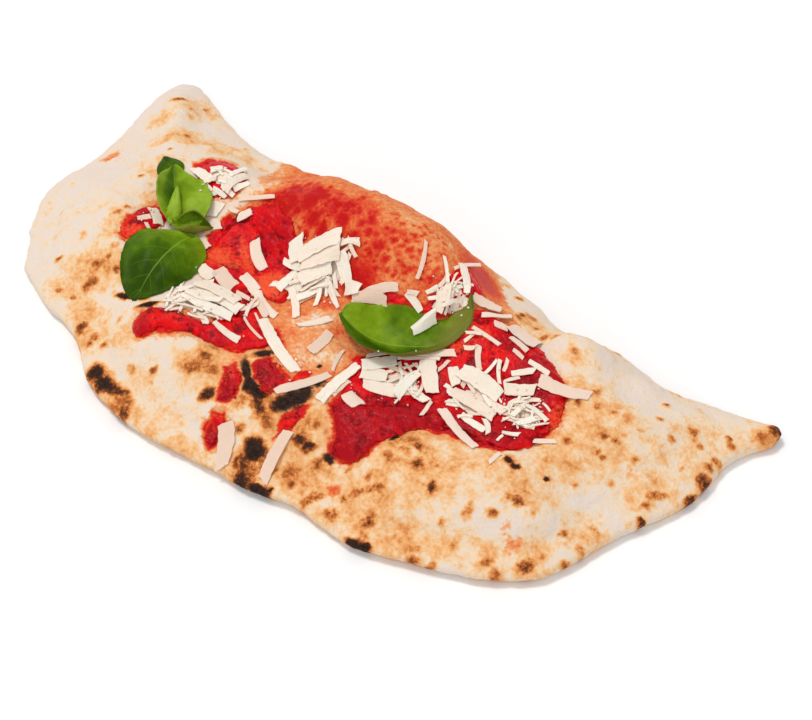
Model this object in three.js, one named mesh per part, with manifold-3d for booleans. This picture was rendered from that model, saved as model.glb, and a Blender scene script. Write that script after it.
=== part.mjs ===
// A baked calzone: a disc of dough folded over its filling into a half-moon, crimped shut along
// the curved side and drawn out into two horns, with tomato sauce, basil and shaved cheese on top.
// Millimetres, +Z up. X runs from horn to horn, -Y is the crimped side and +Y the folded side.
// The origin is on the table, under the middle of the whole.
import * as THREE from "three";
import Module from "manifold-3d";

const wasm = await Module();
wasm.setup();

// ---------------------------------------------------------------- driving dimensions
const crimpThickness = 7; // baked edge along the crimped side
const foldThickness = 17; // rounded edge along the folded side
const bodyRise = 17; // how far the filled middle stands above its edge
const bodyReach = 42; // distance from the edge over which it rises
const crimpInset = 11; // from the crimped edge to the pressed line inside it
const crimpGroove = 1.6; // depth of that line
const grooveReach = 5; // from the line to where it fades out on either side
const seamShare = 0.42; // height of the rim's widest line, as a share of its thickness
const swellingInset = 14; // swellings fade out over this distance from the edge
const gridAlong = 78; // faces from horn to horn
const gridAcross = 24; // faces from crimp to fold
const clearance = 0.3; // gap between pieces that touch
const sauceGrain = 4.5; // face size on the sauce
const sauceShoulder = 7; // distance from a pool's edge to its full depth
const cheeseThickness = 1;
const leafThickness = 0.8;

// ---------------------------------------------------------------- small helpers
const clamp01 = (t) => Math.min(1, Math.max(0, t));
const smooth = (t) => clamp01(t) ** 2 * (3 - 2 * clamp01(t));
const mix = (a, b, t) => a + (b - a) * t;
const radians = THREE.MathUtils.degToRad;
const spline = (points, closed = false) =>
  new THREE.CatmullRomCurve3(
    points.map(([x, y]) => new THREE.Vector3(x, y, 0)),
    closed,
    "centripetal",
  );

// Repeatable random numbers from 0 to 1.
function dice(seed) {
  let state = seed;
  return () => {
    state = (state * 1664525 + 1013904223) % 4294967296;
    return state / 4294967296;
  };
}

// Place of (x, y) in an ellipse's own frame, as shares of its half-lengths.
function shares({ x: cx, y: cy, along, across, turn }, x, y) {
  const angle = radians(turn);
  const dx = (x - cx) * Math.cos(angle) + (y - cy) * Math.sin(angle);
  const dy = (y - cy) * Math.cos(angle) - (x - cx) * Math.sin(angle);
  return [dx / along, dy / across];
}

// ---------------------------------------------------------------- dough outline
const leftCorner = [-143, -47];
const leftHorn = [-164, 81];
const tipFront = [167, 65];
const tipBack = [163, 74];
const sides = {
  left: spline([
    leftCorner, [-150, -36], [-158, -24], [-165, -9], [-166, 3], [-162, 18], [-162, 38], [-166, 66], leftHorn,
  ]),
  crimp: spline([
    leftCorner, [-133, -51], [-121, -57], [-109, -59], [-91, -67], [-83, -75], [-65, -82], [-45, -85],
    [-11, -82], [9, -81], [33, -76], [48, -78], [67, -77], [82, -71], [97, -66], [112, -59], [128, -47],
    [134, -36], [140, -17], [147, 0], [155, 17], [157, 29], [157, 45], [162, 58], tipFront,
  ]),
  fold: spline([
    leftHorn, [-156, 85], [-147, 83], [-135, 78], [-118, 71], [-100, 66], [-70, 69], [-30, 72], [15, 71],
    [48, 65], [68, 59], [80, 60], [91, 64], [102, 63], [115, 62], [133, 66], [152, 71], tipBack,
  ]),
  right: spline([tipFront, [168, 71], tipBack]),
};

// The flat spot of the dough at (u, v): u from left to right, v from the crimp to the fold.
function doughSpot(u, v) {
  const front = sides.crimp.getPointAt(u);
  const back = sides.fold.getPointAt(u);
  const left = sides.left.getPointAt(v);
  const right = sides.right.getPointAt(v);
  const corners = new THREE.Vector3();
  const weights = [
    [leftCorner, (1 - u) * (1 - v)],
    [leftHorn, (1 - u) * v],
    [tipFront, u * (1 - v)],
    [tipBack, u * v],
  ];
  for (const [[x, y], w] of weights) corners.add(new THREE.Vector3(x * w, y * w, 0));
  return front
    .multiplyScalar(1 - v)
    .addScaledVector(back, v)
    .addScaledVector(left, 1 - u)
    .addScaledVector(right, u)
    .sub(corners);
}

const outlineSteps = { left: 90, fold: 90, right: 6, crimp: 90 };
const outline = Object.entries(outlineSteps).flatMap(([side, steps]) => sides[side].getSpacedPoints(steps));

function edgeDistance(x, y) {
  let nearest = Infinity;
  for (const p of outline) nearest = Math.min(nearest, Math.hypot(p.x - x, p.y - y));
  return nearest;
}

// ---------------------------------------------------------------- dough relief
// Swellings and dips of the folded body.
const swellings = [
  { name: "dome", x: -12, y: 40, along: 70, across: 44, turn: -2, rise: 21 },
  { name: "domeLeft", x: -50, y: 55, along: 20, across: 22, turn: 0, rise: 3 },
  { name: "domeRight", x: 8, y: 56, along: 17, across: 20, turn: 0, rise: 3.5 },
  { name: "shoulderLeft", x: -84, y: 54, along: 26, across: 20, turn: 0, rise: -7 },
  { name: "shoulderRight", x: 37, y: 52, along: 17, across: 16, turn: 0, rise: -5 },
  { name: "frontBulge", x: 84, y: -42, along: 56, across: 30, turn: 18, rise: 5 },
  { name: "leftBulge", x: -62, y: -52, along: 44, across: 24, turn: -4, rise: 4 },
  { name: "sauceDip", x: 66, y: -4, along: 50, across: 20, turn: 24, rise: -4 },
  { name: "poolDip", x: -56, y: 6, along: 30, across: 24, turn: 20, rise: -3 },
  { name: "ridge", x: -8, y: -12, along: 20, across: 30, turn: 0, rise: 3 },
  { name: "foldPuff", x: 83, y: 48, along: 22, across: 17, turn: -4, rise: 10 },
  { name: "backPuff", x: 122, y: 52, along: 30, across: 16, turn: 6, rise: 3 },
  { name: "hornPuff", x: -148, y: 62, along: 20, across: 24, turn: 0, rise: 3 },
  { name: "craterRim", x: -3, y: -40, along: 17, across: 14, turn: 0, rise: 3.5 },
  { name: "crater", x: -7, y: -42, along: 11, across: 8, turn: 0, rise: -5 },
];

// Small blisters raised by the heat, in two bands clear of the toppings.
const blisters = { count: 30, size: [7, 12], stretch: [1, 1.5], rise: [0.8, 2], band: 0.17, seed: 71 };
const rollBlister = dice(blisters.seed);
for (let n = 0; n < blisters.count; n++) {
  const bandStart = n % 3 === 0 ? 0.75 : 0.05; // one in three is by the fold
  const u = mix(0.06, 0.94, rollBlister());
  const spot = doughSpot(u, bandStart + blisters.band * rollBlister());
  const size = mix(...blisters.size, rollBlister());
  swellings.push({
    name: `blister${n}`,
    x: spot.x,
    y: spot.y,
    along: size * mix(...blisters.stretch, rollBlister()),
    across: size,
    turn: 180 * rollBlister(),
    rise: mix(...blisters.rise, rollBlister()),
  });
}

function swellingAt(x, y) {
  let rise = 0;
  for (const swelling of swellings) {
    const [a, b] = shares(swelling, x, y);
    rise += swelling.rise * Math.max(0, 1 - a * a - b * b) ** 2;
  }
  return rise;
}

const foldShare = (x, y) => smooth(y / 45) * (1 - smooth((Math.abs(x) - 80) / 60));
const edgeThickness = (x, y) => mix(crimpThickness, foldThickness, foldShare(x, y));

// Height of the dough's top over the table.
function roof(x, y) {
  const edge = edgeThickness(x, y);
  const inset = edgeDistance(x, y);
  const seam = seamShare * edge;
  const roll = (edge - seam) * Math.sqrt(1 - (1 - clamp01(inset / edge)) ** 2);
  const grooved = (1 - smooth(Math.abs(inset - crimpInset) / grooveReach)) * (1 - smooth((y + 30) / 30));
  const body = bodyRise * smooth(inset / bodyReach) + swellingAt(x, y) * smooth(inset / swellingInset);
  return seam + roll + body - crimpGroove * grooved;
}

// ---------------------------------------------------------------- grids of faces
// Split of the quad a, b, c, d, with the diagonal on alternate sides.
const quad = ([a, b, c, d], odd) => (odd ? [a, b, c, a, c, d] : [a, b, d, b, c, d]);

// Places round the border of a grid, counter-clockwise seen from above.
function borderOf(nx, ny) {
  const border = [];
  for (let i = 0; i < nx; i++) border.push([i, 0]);
  for (let j = 0; j < ny; j++) border.push([nx, j]);
  for (let i = nx; i > 0; i--) border.push([i, ny]);
  for (let j = ny; j > 0; j--) border.push([0, j]);
  return border;
}

// Faces between two loops of equal length, the first above or inside the second.
function skirt(upper, lower) {
  return upper.flatMap((top, k) => {
    const n = (k + 1) % upper.length;
    return [top, lower[k], lower[n], top, lower[n], upper[n]];
  });
}

function geometryFrom(positions, faces) {
  return new THREE.BufferGeometry()
    .setAttribute("position", new THREE.Float32BufferAttribute(positions, 3))
    .setIndex(faces);
}

// ---------------------------------------------------------------- dough solid
// Even steps from 0 to 1 drawn towards both ends by a share, for finer faces round the rim.
function packedSteps(count, share) {
  return Array.from({ length: count + 1 }, (_, i) => {
    const t = i / count;
    return t - (share * Math.sin(2 * Math.PI * t)) / (2 * Math.PI);
  });
}

function doughGeometry() {
  const positions = [];
  const faces = [];
  const add = (x, y, z) => positions.push(x, y, z) / 3 - 1;
  const us = packedSteps(gridAlong, 0.6);
  const vs = packedSteps(gridAcross, 0.7);
  const top = us.map((u) =>
    vs.map((v) => {
      const p = doughSpot(u, v);
      return add(p.x, p.y, roof(p.x, p.y));
    }),
  );
  for (let i = 0; i < gridAlong; i++) {
    for (let j = 0; j < gridAcross; j++) {
      faces.push(...quad([top[i][j], top[i + 1][j], top[i + 1][j + 1], top[i][j + 1]], (i + j) % 2));
    }
  }
  // Two loops under the rim tuck it in to the flat underside.
  const tucks = [
    { inset: 0.014, height: 0.12 },
    { inset: 0.04, height: 0 },
  ];
  const border = borderOf(gridAlong, gridAcross);
  let upper = border.map(([i, j]) => top[i][j]);
  let flat;
  for (const tuck of tucks) {
    flat = border.map(([i, j]) => {
      const u = 0.5 + (us[i] - 0.5) * (1 - tuck.inset);
      const v = 0.5 + (vs[j] - 0.5) * (1 - 2 * tuck.inset);
      return doughSpot(u, v);
    });
    const under = flat.map((p) => add(p.x, p.y, tuck.height * edgeThickness(p.x, p.y)));
    faces.push(...skirt(upper, under));
    upper = under;
  }
  const underside = THREE.ShapeUtils.triangulateShape(flat, []);
  for (const [a, b, c] of underside) faces.push(upper[c], upper[b], upper[a]);
  return geometryFrom(positions, faces);
}

// ---------------------------------------------------------------- solids and the relief they make
function solidOf(geometry) {
  return new wasm.Manifold(
    new wasm.Mesh({
      numProp: 3,
      vertProperties: new Float32Array(geometry.getAttribute("position").array),
      triVerts: new Uint32Array(geometry.getIndex().array),
    }),
  );
}

function geometryOf(solid) {
  const mesh = solid.getMesh();
  return new THREE.BufferGeometry()
    .setAttribute("position", new THREE.BufferAttribute(mesh.vertProperties, 3))
    .setIndex(new THREE.BufferAttribute(mesh.triVerts, 1));
}

const biggest = (solid) => solid.decompose().sort((a, b) => b.volume() - a.volume())[0];

// Height of everything laid so far, on a grid of 1 mm cells.
const laid = new Map();
const cellKey = (x, y) => `${Math.round(x)},${Math.round(y)}`;

function recordRelief(geometry) {
  const position = geometry.getAttribute("position");
  const index = geometry.getIndex();
  const corner = (k) => new THREE.Vector3().fromBufferAttribute(position, index.getX(k));
  for (let k = 0; k < index.count; k += 3) {
    const face = new THREE.Triangle(corner(k), corner(k + 1), corner(k + 2));
    const plane = face.getPlane(new THREE.Plane());
    if (plane.normal.z < 0.05) continue;
    const box = new THREE.Box3().setFromPoints([face.a, face.b, face.c]);
    for (let x = Math.ceil(box.min.x - 0.5); x <= box.max.x + 0.5; x++) {
      for (let y = Math.ceil(box.min.y - 0.5); y <= box.max.y + 0.5; y++) {
        const z = -(plane.normal.x * x + plane.normal.y * y + plane.constant) / plane.normal.z;
        if (z < box.min.z) continue;
        const key = cellKey(x, y);
        laid.set(key, Math.max(laid.get(key) ?? 0, Math.min(z, box.max.z)));
      }
    }
  }
}

// Highest point laid so far within a few cells of (x, y).
function reliefAt(x, y, reach) {
  let top = 0;
  for (let dx = -reach; dx <= reach; dx++) {
    for (let dy = -reach; dy <= reach; dy++) top = Math.max(top, laid.get(cellKey(x + dx, y + dy)) ?? 0);
  }
  return top;
}

// Whether two solids' boxes come within the clearance of each other.
function nearby(one, other) {
  const [a, b] = [one.boundingBox(), other.boundingBox()];
  return [0, 1, 2].every((k) => a.min[k] < b.max[k] + clearance && b.min[k] < a.max[k] + clearance);
}

const calzone = new THREE.Group();
const below = []; // solids laid so far
const shifts = [[0, 0, 0], [0, 0, clearance]]; // a piece keeps clear of what is below it, and over it

// Adds a piece on top of the ones laid so far, cut where it would touch them.
function lay(name, solid, look) {
  let cleared = solid;
  for (const other of below.filter((one) => nearby(solid, one))) {
    for (const shift of shifts) cleared = cleared.subtract(other.translate(shift));
  }
  cleared = biggest(cleared);
  below.push(cleared);
  const mesh = new THREE.Mesh(geometryOf(cleared), look);
  recordRelief(mesh.geometry);
  mesh.name = name;
  calzone.add(mesh);
}

const looks = {
  dough: new THREE.MeshStandardMaterial({ color: 0xe8cfae, roughness: 0.75, metalness: 0 }),
  sauce: new THREE.MeshStandardMaterial({ color: 0xb5120c, roughness: 0.3, metalness: 0 }),
  cheese: new THREE.MeshStandardMaterial({ color: 0xf2e6cf, roughness: 0.6, metalness: 0 }),
  basil: new THREE.MeshStandardMaterial({ color: 0x3f7d14, roughness: 0.4, metalness: 0 }),
};

// ---------------------------------------------------------------- sauce
// A body over a rectangle whose top is topAt(x, y) and whose foot is inside the dough.
function plateau(box, topAt) {
  const foot = 0.5;
  const nx = Math.ceil((box.max.x - box.min.x) / sauceGrain);
  const ny = Math.ceil((box.max.y - box.min.y) / sauceGrain);
  const positions = [];
  const faces = [];
  const top = Array.from({ length: nx + 1 }, (_, i) =>
    Array.from({ length: ny + 1 }, (_, j) => {
      const x = mix(box.min.x, box.max.x, i / nx);
      const y = mix(box.min.y, box.max.y, j / ny);
      return positions.push(x, y, topAt(x, y)) / 3 - 1;
    }),
  );
  for (let i = 0; i < nx; i++) {
    for (let j = 0; j < ny; j++) {
      faces.push(...quad([top[i][j], top[i + 1][j], top[i + 1][j + 1], top[i][j + 1]], (i + j) % 2));
    }
  }
  const upper = borderOf(nx, ny).map(([i, j]) => top[i][j]);
  const under = upper.map((k) => positions.push(positions[3 * k], positions[3 * k + 1], foot) / 3 - 1);
  const centre = box.getCenter(new THREE.Vector3());
  const hub = positions.push(centre.x, centre.y, foot) / 3 - 1;
  faces.push(...skirt(upper, under));
  under.forEach((k, n) => faces.push(hub, under[(n + 1) % under.length], k));
  return solidOf(geometryFrom(positions, faces));
}

// Distance inside a closed outline, negative outside.
function insideBy(loop, x, y) {
  let nearest = Infinity;
  let inside = false;
  loop.forEach((b, i) => {
    const a = loop[(i + loop.length - 1) % loop.length];
    const along = clamp01(((x - a.x) * (b.x - a.x) + (y - a.y) * (b.y - a.y)) / a.distanceToSquared(b));
    nearest = Math.min(nearest, Math.hypot(x - mix(a.x, b.x, along), y - mix(a.y, b.y, along)));
    if (b.y > y !== a.y > y && x < mix(b.x, a.x, (y - b.y) / (a.y - b.y))) inside = !inside;
  });
  return inside ? nearest : -nearest;
}

// Soft lumps of crushed tomato.
const lumpHeight = 0.5;
const lumps = (x, y) =>
  lumpHeight * Math.sin(x / 2.9 + 2 * Math.sin(y / 4.1)) * Math.sin(y / 3.3 + 2 * Math.sin(x / 5.3));

const pools = [
  {
    name: "sauce_front",
    depth: 2.4,
    edge: [
      [19, -38], [30, -31], [42, -20], [45, -5], [35, 8], [33, 22], [42, 32], [54, 37], [68, 36], [80, 31],
      [92, 23], [100, 12], [99, -2], [94, -13], [84, -18], [72, -18], [62, -22], [54, -33], [48, -44],
      [45, -53], [38, -56], [31, -53], [28, -45],
    ],
  },
  {
    name: "sauce_middle",
    depth: 2.2,
    edge: [
      [-73, 22], [-62, 27], [-50, 25], [-40, 18], [-35, 8], [-28, 0], [-28, -10], [-40, -12], [-52, -17],
      [-66, -14], [-74, -4], [-76, 8],
    ],
  },
  {
    name: "sauce_left",
    depth: 2,
    edge: [
      [-74, -53], [-74, -45], [-64, -39], [-48, -36], [-38, -27], [-26, -24], [-16, -21], [-15, -27],
      [-21, -33], [-24, -38], [-30, -41], [-40, -44], [-50, -46], [-59, -50], [-65, -56],
    ],
  },
  {
    name: "sauce_corner",
    depth: 1.6,
    edge: [[-105, 31], [-101, 41], [-91, 41], [-82, 33], [-81, 23], [-89, 19], [-99, 21]],
  },
  {
    name: "sauce_side",
    depth: 1.6,
    edge: [[-111, -18], [-114, -8], [-110, 2], [-101, 6], [-96, -4], [-97, -14], [-104, -20]],
  },
  {
    name: "sauce_crater",
    depth: 2,
    edge: [[-17, -42], [-16, -39], [-11, -36], [-5, -36], [1, -40], [2, -45], [-4, -48], [-12, -47]],
  },
  {
    name: "sauce_drip_high",
    depth: 1.6,
    edge: [[-25, -46], [-19, -45], [-15, -50], [-14, -57], [-19, -59], [-23, -53]],
  },
  {
    name: "sauce_drip_low",
    depth: 1.6,
    edge: [[-20, -65], [-15, -63], [-10, -65], [-11, -71], [-12, -78], [-17, -75]],
  },
  {
    name: "sauce_drip_right",
    depth: 1.4,
    edge: [[7, -58], [6, -53], [9, -47], [13, -46], [15, -50], [13, -56], [10, -61], [8, -62]],
  },
];

function pour({ name, depth, edge }) {
  const loop = spline(edge, true).getSpacedPoints(edge.length * 5).slice(1);
  const box = new THREE.Box3().setFromPoints(loop).expandByScalar(sauceGrain);
  const depthAt = (x, y) => {
    const inside = insideBy(loop, x, y);
    if (inside < 0) return inside;
    return depth * Math.sqrt(clamp01(inside / sauceShoulder)) + lumps(x, y) * clamp01(inside / 3);
  };
  lay(name, plateau(box, (x, y) => roof(x, y) + clearance + depthAt(x, y)), looks.sauce);
}

// ---------------------------------------------------------------- cheese
// A shaved strip between two spots, draped over what is below it; bow bends it sideways.
function strip({ from, to, width, bow = 0, raise = () => clearance + 0.2 }) {
  const start = new THREE.Vector2(...from);
  const end = new THREE.Vector2(...to);
  const across = end.clone().sub(start).normalize().rotateAround(new THREE.Vector2(), Math.PI / 2);
  const steps = Math.max(2, Math.round(start.distanceTo(end) / 7));
  const rows = Array.from({ length: steps + 1 }, (_, i) => {
    const t = i / steps;
    const half = (width / 2) * (t === 0 || t === 1 ? 0.8 : 1);
    const middle = start.clone().lerp(end, t).addScaledVector(across, 4 * bow * t * (1 - t));
    return [-half, half].map((side) => middle.clone().addScaledVector(across, side));
  });
  const seats = rows.map((row) => row.map((p) => reliefAt(p.x, p.y, 2) + raise(p.x, p.y)));
  // A strip is stiff, so it bridges a dip rather than sinking into it.
  const spanned = seats.map((row, i) =>
    row.map((z, k) => Math.max(z, ((seats[i - 1] ?? row)[k] + (seats[i + 1] ?? row)[k]) / 2)),
  );
  const positions = [];
  const faces = [];
  const sections = rows.map(([right, left], i) => {
    const [zRight, zLeft] = spanned[i];
    const lowerSide = [[right, zRight], [left, zLeft]];
    const upperSide = [[left, zLeft + cheeseThickness], [right, zRight + cheeseThickness]];
    return [...lowerSide, ...upperSide].map(([p, z]) => positions.push(p.x, p.y, z) / 3 - 1);
  });
  for (let i = 0; i < steps; i++) {
    for (let k = 0; k < 4; k++) {
      const n = (k + 1) % 4;
      faces.push(sections[i][k], sections[i][n], sections[i + 1][n]);
      faces.push(sections[i][k], sections[i + 1][n], sections[i + 1][k]);
    }
  }
  const [first, last] = [sections[0], sections[steps]];
  faces.push(first[0], first[2], first[1], first[0], first[3], first[2]);
  faces.push(last[0], last[1], last[2], last[0], last[2], last[3]);
  return solidOf(geometryFrom(positions, faces));
}

// A low mound of shavings pressed together, draped over what is below it.
const moundRings = 3;
const moundSectors = 14;
const moundEdge = 0.7; // thickness of a mound at its edge

function mound(heap) {
  const angle = radians(heap.turn);
  const positions = [];
  const faces = [];
  const place = (ring, sector, level) => {
    const reach = ring / moundRings;
    const around = (2 * Math.PI * sector) / moundSectors;
    const dx = Math.cos(around) * reach * heap.along;
    const dy = Math.sin(around) * reach * heap.across;
    const x = heap.x + dx * Math.cos(angle) - dy * Math.sin(angle);
    const y = heap.y + dx * Math.sin(angle) + dy * Math.cos(angle);
    const thickness = level * (moundEdge + heap.rise * (1 - reach * reach));
    return positions.push(x, y, reliefAt(x, y, 2) + clearance + 0.1 + thickness) / 3 - 1;
  };
  const loops = [1, 0].map((level) =>
    Array.from({ length: moundRings }, (_, ring) =>
      Array.from({ length: moundSectors }, (_, sector) => place(ring + 1, sector, level)),
    ),
  );
  const [tops, bottoms] = loops;
  const [peak, foot] = [place(0, 0, 1), place(0, 0, 0)];
  tops[0].forEach((k, n) => faces.push(peak, k, tops[0][(n + 1) % moundSectors]));
  bottoms[0].forEach((k, n) => faces.push(foot, bottoms[0][(n + 1) % moundSectors], k));
  for (let ring = 1; ring < moundRings; ring++) {
    faces.push(...skirt(tops[ring - 1], tops[ring]));
    faces.push(...skirt(bottoms[ring], bottoms[ring - 1]));
  }
  faces.push(...skirt(tops[moundRings - 1], bottoms[moundRings - 1]));
  return solidOf(geometryFrom(positions, faces));
}

const heaps = [
  {
    name: "cheese_corner", x: -92, y: 28, along: 10, across: 6, turn: 20, rise: 1.2,
    strips: 5, length: [6, 11], width: [2, 5], seed: 11,
  },
  {
    name: "cheese_left", x: -55, y: -29, along: 16, across: 6, turn: 12, rise: 2.5,
    strips: 6, length: [9, 18], width: [2, 4], seed: 23,
  },
  {
    name: "cheese_centre", x: -22, y: 8, along: 15, across: 11, turn: 20, rise: 3,
    strips: 8, length: [12, 22], width: [3, 6], seed: 5,
  },
  {
    name: "cheese_front", x: 37, y: -14, along: 12, across: 7, turn: 30, rise: 1.8,
    strips: 6, length: [8, 16], width: [2.5, 5], seed: 37,
  },
  {
    name: "cheese_right", x: 66, y: -1, along: 12, across: 8, turn: -30, rise: 2.4,
    strips: 6, length: [10, 18], width: [3, 6], seed: 41,
  },
  {
    name: "cheese_fine", x: 87, y: 2, along: 10, across: 9, turn: 0, rise: 1.4,
    strips: 6, length: [8, 15], width: [1.4, 2.2], seed: 59,
  },
  {
    name: "cheese_high", x: 33, y: 28, along: 7, across: 9, turn: -20, rise: 1.6,
    strips: 6, length: [9, 16], width: [1.4, 2.4], seed: 67,
  },
];

function pile(heap) {
  const roll = dice(heap.seed);
  const angle = radians(heap.turn);
  // Strips sink a little into the mound and lie on the ground outside it.
  const raise = (x, y) => {
    const [a, b] = shares(heap, x, y);
    const inside = Math.max(0, 1 - a * a - b * b);
    return clearance + 0.2 + (heap.rise + 0.4) * inside;
  };
  let solid = mound(heap);
  for (let n = 0; n < heap.strips; n++) {
    const reach = 0.85 * Math.sqrt(roll());
    const around = 2 * Math.PI * roll();
    const dx = Math.cos(around) * reach * heap.along;
    const dy = Math.sin(around) * reach * heap.across;
    const middle = new THREE.Vector2(dx, dy)
      .rotateAround(new THREE.Vector2(), angle)
      .add(new THREE.Vector2(heap.x, heap.y));
    const half = new THREE.Vector2(mix(...heap.length, roll()) / 2, 0);
    half.rotateAround(new THREE.Vector2(), Math.PI * roll());
    const from = middle.clone().sub(half).toArray();
    const to = middle.clone().add(half).toArray();
    solid = solid.add(strip({ from, to, width: mix(...heap.width, roll()), bow: mix(-2, 2, roll()), raise }));
  }
  lay(heap.name, solid, looks.cheese);
}

const shavings = [
  { name: "shaving_long", from: [-29, -21], to: [0, -35], width: 5 },
  { name: "shaving_white", from: [16, -40], to: [18, -17], width: 5.5 },
  { name: "shaving_rim_left", from: [-12, -66], to: [-3, -80], width: 7 },
  { name: "shaving_rim_right", from: [13, -56], to: [15, -76], width: 5.5 },
  { name: "shaving_pool", from: [-59, 11], to: [-46, 1], width: 5.5 },
  { name: "shaving_drop", from: [58, -14], to: [81, -23], width: 4 },
  { name: "shaving_fold", from: [57, 35], to: [71, 34], width: 9 },
  { name: "shaving_dome", from: [38, 34], to: [49, 39], width: 5 },
  { name: "shaving_thin", from: [11, 38], to: [17, 24], width: 1.8 },
  { name: "shaving_crater", from: [-1, -47], to: [11, -27], width: 4 },
  { name: "shaving_sliver", from: [8, -14], to: [11, -25], width: 1.6 },
  { name: "shaving_wedge", from: [83, 18], to: [103, 25], width: 6 },
  { name: "shaving_block", from: [23, -31], to: [31, -34], width: 7 },
  { name: "shaving_under", from: [27, -2], to: [47, 10], width: 4 },
  { name: "shaving_thread", from: [-77, 23], to: [-63, 30], width: 2 },
  { name: "shaving_round", from: [-90, 13], to: [-81, 15], width: 8 },
];
const leafShaving = { name: "shaving_leaf", from: [26, 9], to: [31, 18], width: 4.5 };

// ---------------------------------------------------------------- basil
// Heading runs from stem to tip. Arch bends a leaf along its length and cup across it, in
// radians: positive bends the ends or edges down. Drape is how far it follows the dough below.
const leaves = [
  {
    name: "basil_upper", x: -100, y: 10, heading: 137, length: 37, width: 27,
    arch: 0.3, cup: -1.2, roll: 8, pitch: 0, drape: 0.6,
  },
  {
    name: "basil_tip", x: -117, y: 22, heading: 150, length: 15, width: 13,
    arch: 0.5, cup: 0.6, roll: 0, pitch: 0, drape: 0.7,
  },
  {
    name: "basil_large", x: -82, y: -23, heading: -94, length: 44, width: 39,
    arch: 0.7, cup: 0.5, roll: -6, pitch: 6, drape: 0.8,
  },
  {
    name: "basil_inner", x: -94, y: 0, heading: 125, length: 16, width: 9,
    arch: 0.3, cup: -0.8, roll: 0, pitch: 0, drape: 0.5,
  },
  {
    name: "basil_curl", x: -82, y: -2, heading: 20, length: 14, width: 14,
    arch: -0.6, cup: -1.2, roll: 12, pitch: 0, drape: 0.5,
  },
  {
    name: "basil_right", x: 26, y: 4, heading: 35, length: 66, width: 38,
    arch: -1.7, cup: -1.2, roll: -16, pitch: 0, drape: 0.3,
  },
];
const leafAlong = 10; // faces from stem to tip
const leafAcross = 6; // faces from edge to edge
const leafSettle = 0.75; // share of a leaf that stays in its own form when it comes to rest

// A leaf's outline: half-width as a share of the widest, from stem to tip.
const leafShare = (s) => Math.max(0.05, Math.sin(Math.PI * s ** 0.8) ** 0.65);

function leafGeometry(leaf) {
  const turned = new THREE.Matrix4().makeRotationFromEuler(
    new THREE.Euler(radians(leaf.roll), radians(leaf.pitch), radians(leaf.heading), "ZYX"),
  );
  const spots = [];
  for (let i = 0; i <= leafAlong; i++) {
    const s = (1 - Math.cos((Math.PI * i) / leafAlong)) / 2; // closer rows at the round ends
    const half = (leaf.width / 2) * leafShare(s);
    for (let j = 0; j <= leafAcross; j++) {
      const t = (2 * j) / leafAcross - 1;
      const bend = leaf.arch * (s - 0.5);
      const fold = leaf.cup * t;
      const side = (half * Math.sin(fold)) / leaf.cup;
      const sag = (half * (1 - Math.cos(fold))) / leaf.cup;
      const ripple = 0.05 * leaf.width * Math.sin(9 * s + 2 * t) * t * t;
      const midrib = -0.5 * (1 - Math.min(1, 3 * Math.abs(t)));
      const radius = leaf.length / leaf.arch;
      const reach = radius + midrib + ripple - sag;
      const spot = new THREE.Vector3(reach * Math.sin(bend), side, reach * Math.cos(bend) - radius);
      spots.push(spot.applyMatrix4(turned));
    }
  }
  const base = roof(leaf.x, leaf.y);
  for (const p of spots) {
    p.add(new THREE.Vector3(leaf.x, leaf.y, 0));
    p.z += leaf.drape * (roof(p.x, p.y) - base);
  }
  // It settles until most of it is clear, and what still touches bends over what is below.
  const seats = spots.map((p) => reliefAt(p.x, p.y, 1) + clearance + 0.2 + leafThickness / 2);
  const drops = spots.map((p, k) => seats[k] - p.z).sort((a, b) => a - b);
  const touch = drops[Math.floor(leafSettle * (drops.length - 1))];
  spots.forEach((p, k) => {
    p.z = Math.max(p.z + touch, seats[k]);
  });
  return thickened(spots);
}

// A leaf's grid of spots made a closed solid, both faces split alike.
function thickened(spots) {
  const positions = [];
  const faces = [];
  const columns = leafAcross + 1;
  for (const side of [0.5, -0.5]) {
    for (const p of spots) positions.push(p.x, p.y, p.z + side * leafThickness);
  }
  const under = spots.length;
  for (let i = 0; i < leafAlong; i++) {
    for (let j = 0; j < leafAcross; j++) {
      const corner = i * columns + j;
      const [a, b, c, d] = [corner, corner + columns, corner + columns + 1, corner + 1];
      faces.push(a, b, c, a, c, d);
      faces.push(a + under, c + under, b + under, a + under, d + under, c + under);
    }
  }
  const rim = borderOf(leafAlong, leafAcross).map(([i, j]) => i * columns + j);
  const rimUnder = rim.map((k) => k + under);
  faces.push(...skirt(rim, rimUnder));
  return geometryFrom(positions, faces);
}

// ---------------------------------------------------------------- assembly, from the table up
lay("dough", solidOf(doughGeometry()), looks.dough);
pools.forEach(pour);
heaps.forEach(pile);
for (const shaving of shavings) lay(shaving.name, strip(shaving), looks.cheese);
for (const leaf of leaves) lay(leaf.name, solidOf(leafGeometry(leaf)), looks.basil);
lay(leafShaving.name, strip(leafShaving), looks.cheese);

const middle = new THREE.Box3().setFromObject(calzone).getCenter(new THREE.Vector3());
calzone.position.set(-middle.x, -middle.y, 0);

export default calzone;
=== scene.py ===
import math
import random

import bmesh
import bpy
import numpy as np
from mathutils import Matrix, Vector, noise
from mathutils.bvhtree import BVHTree
from mathutils.kdtree import KDTree


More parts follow.
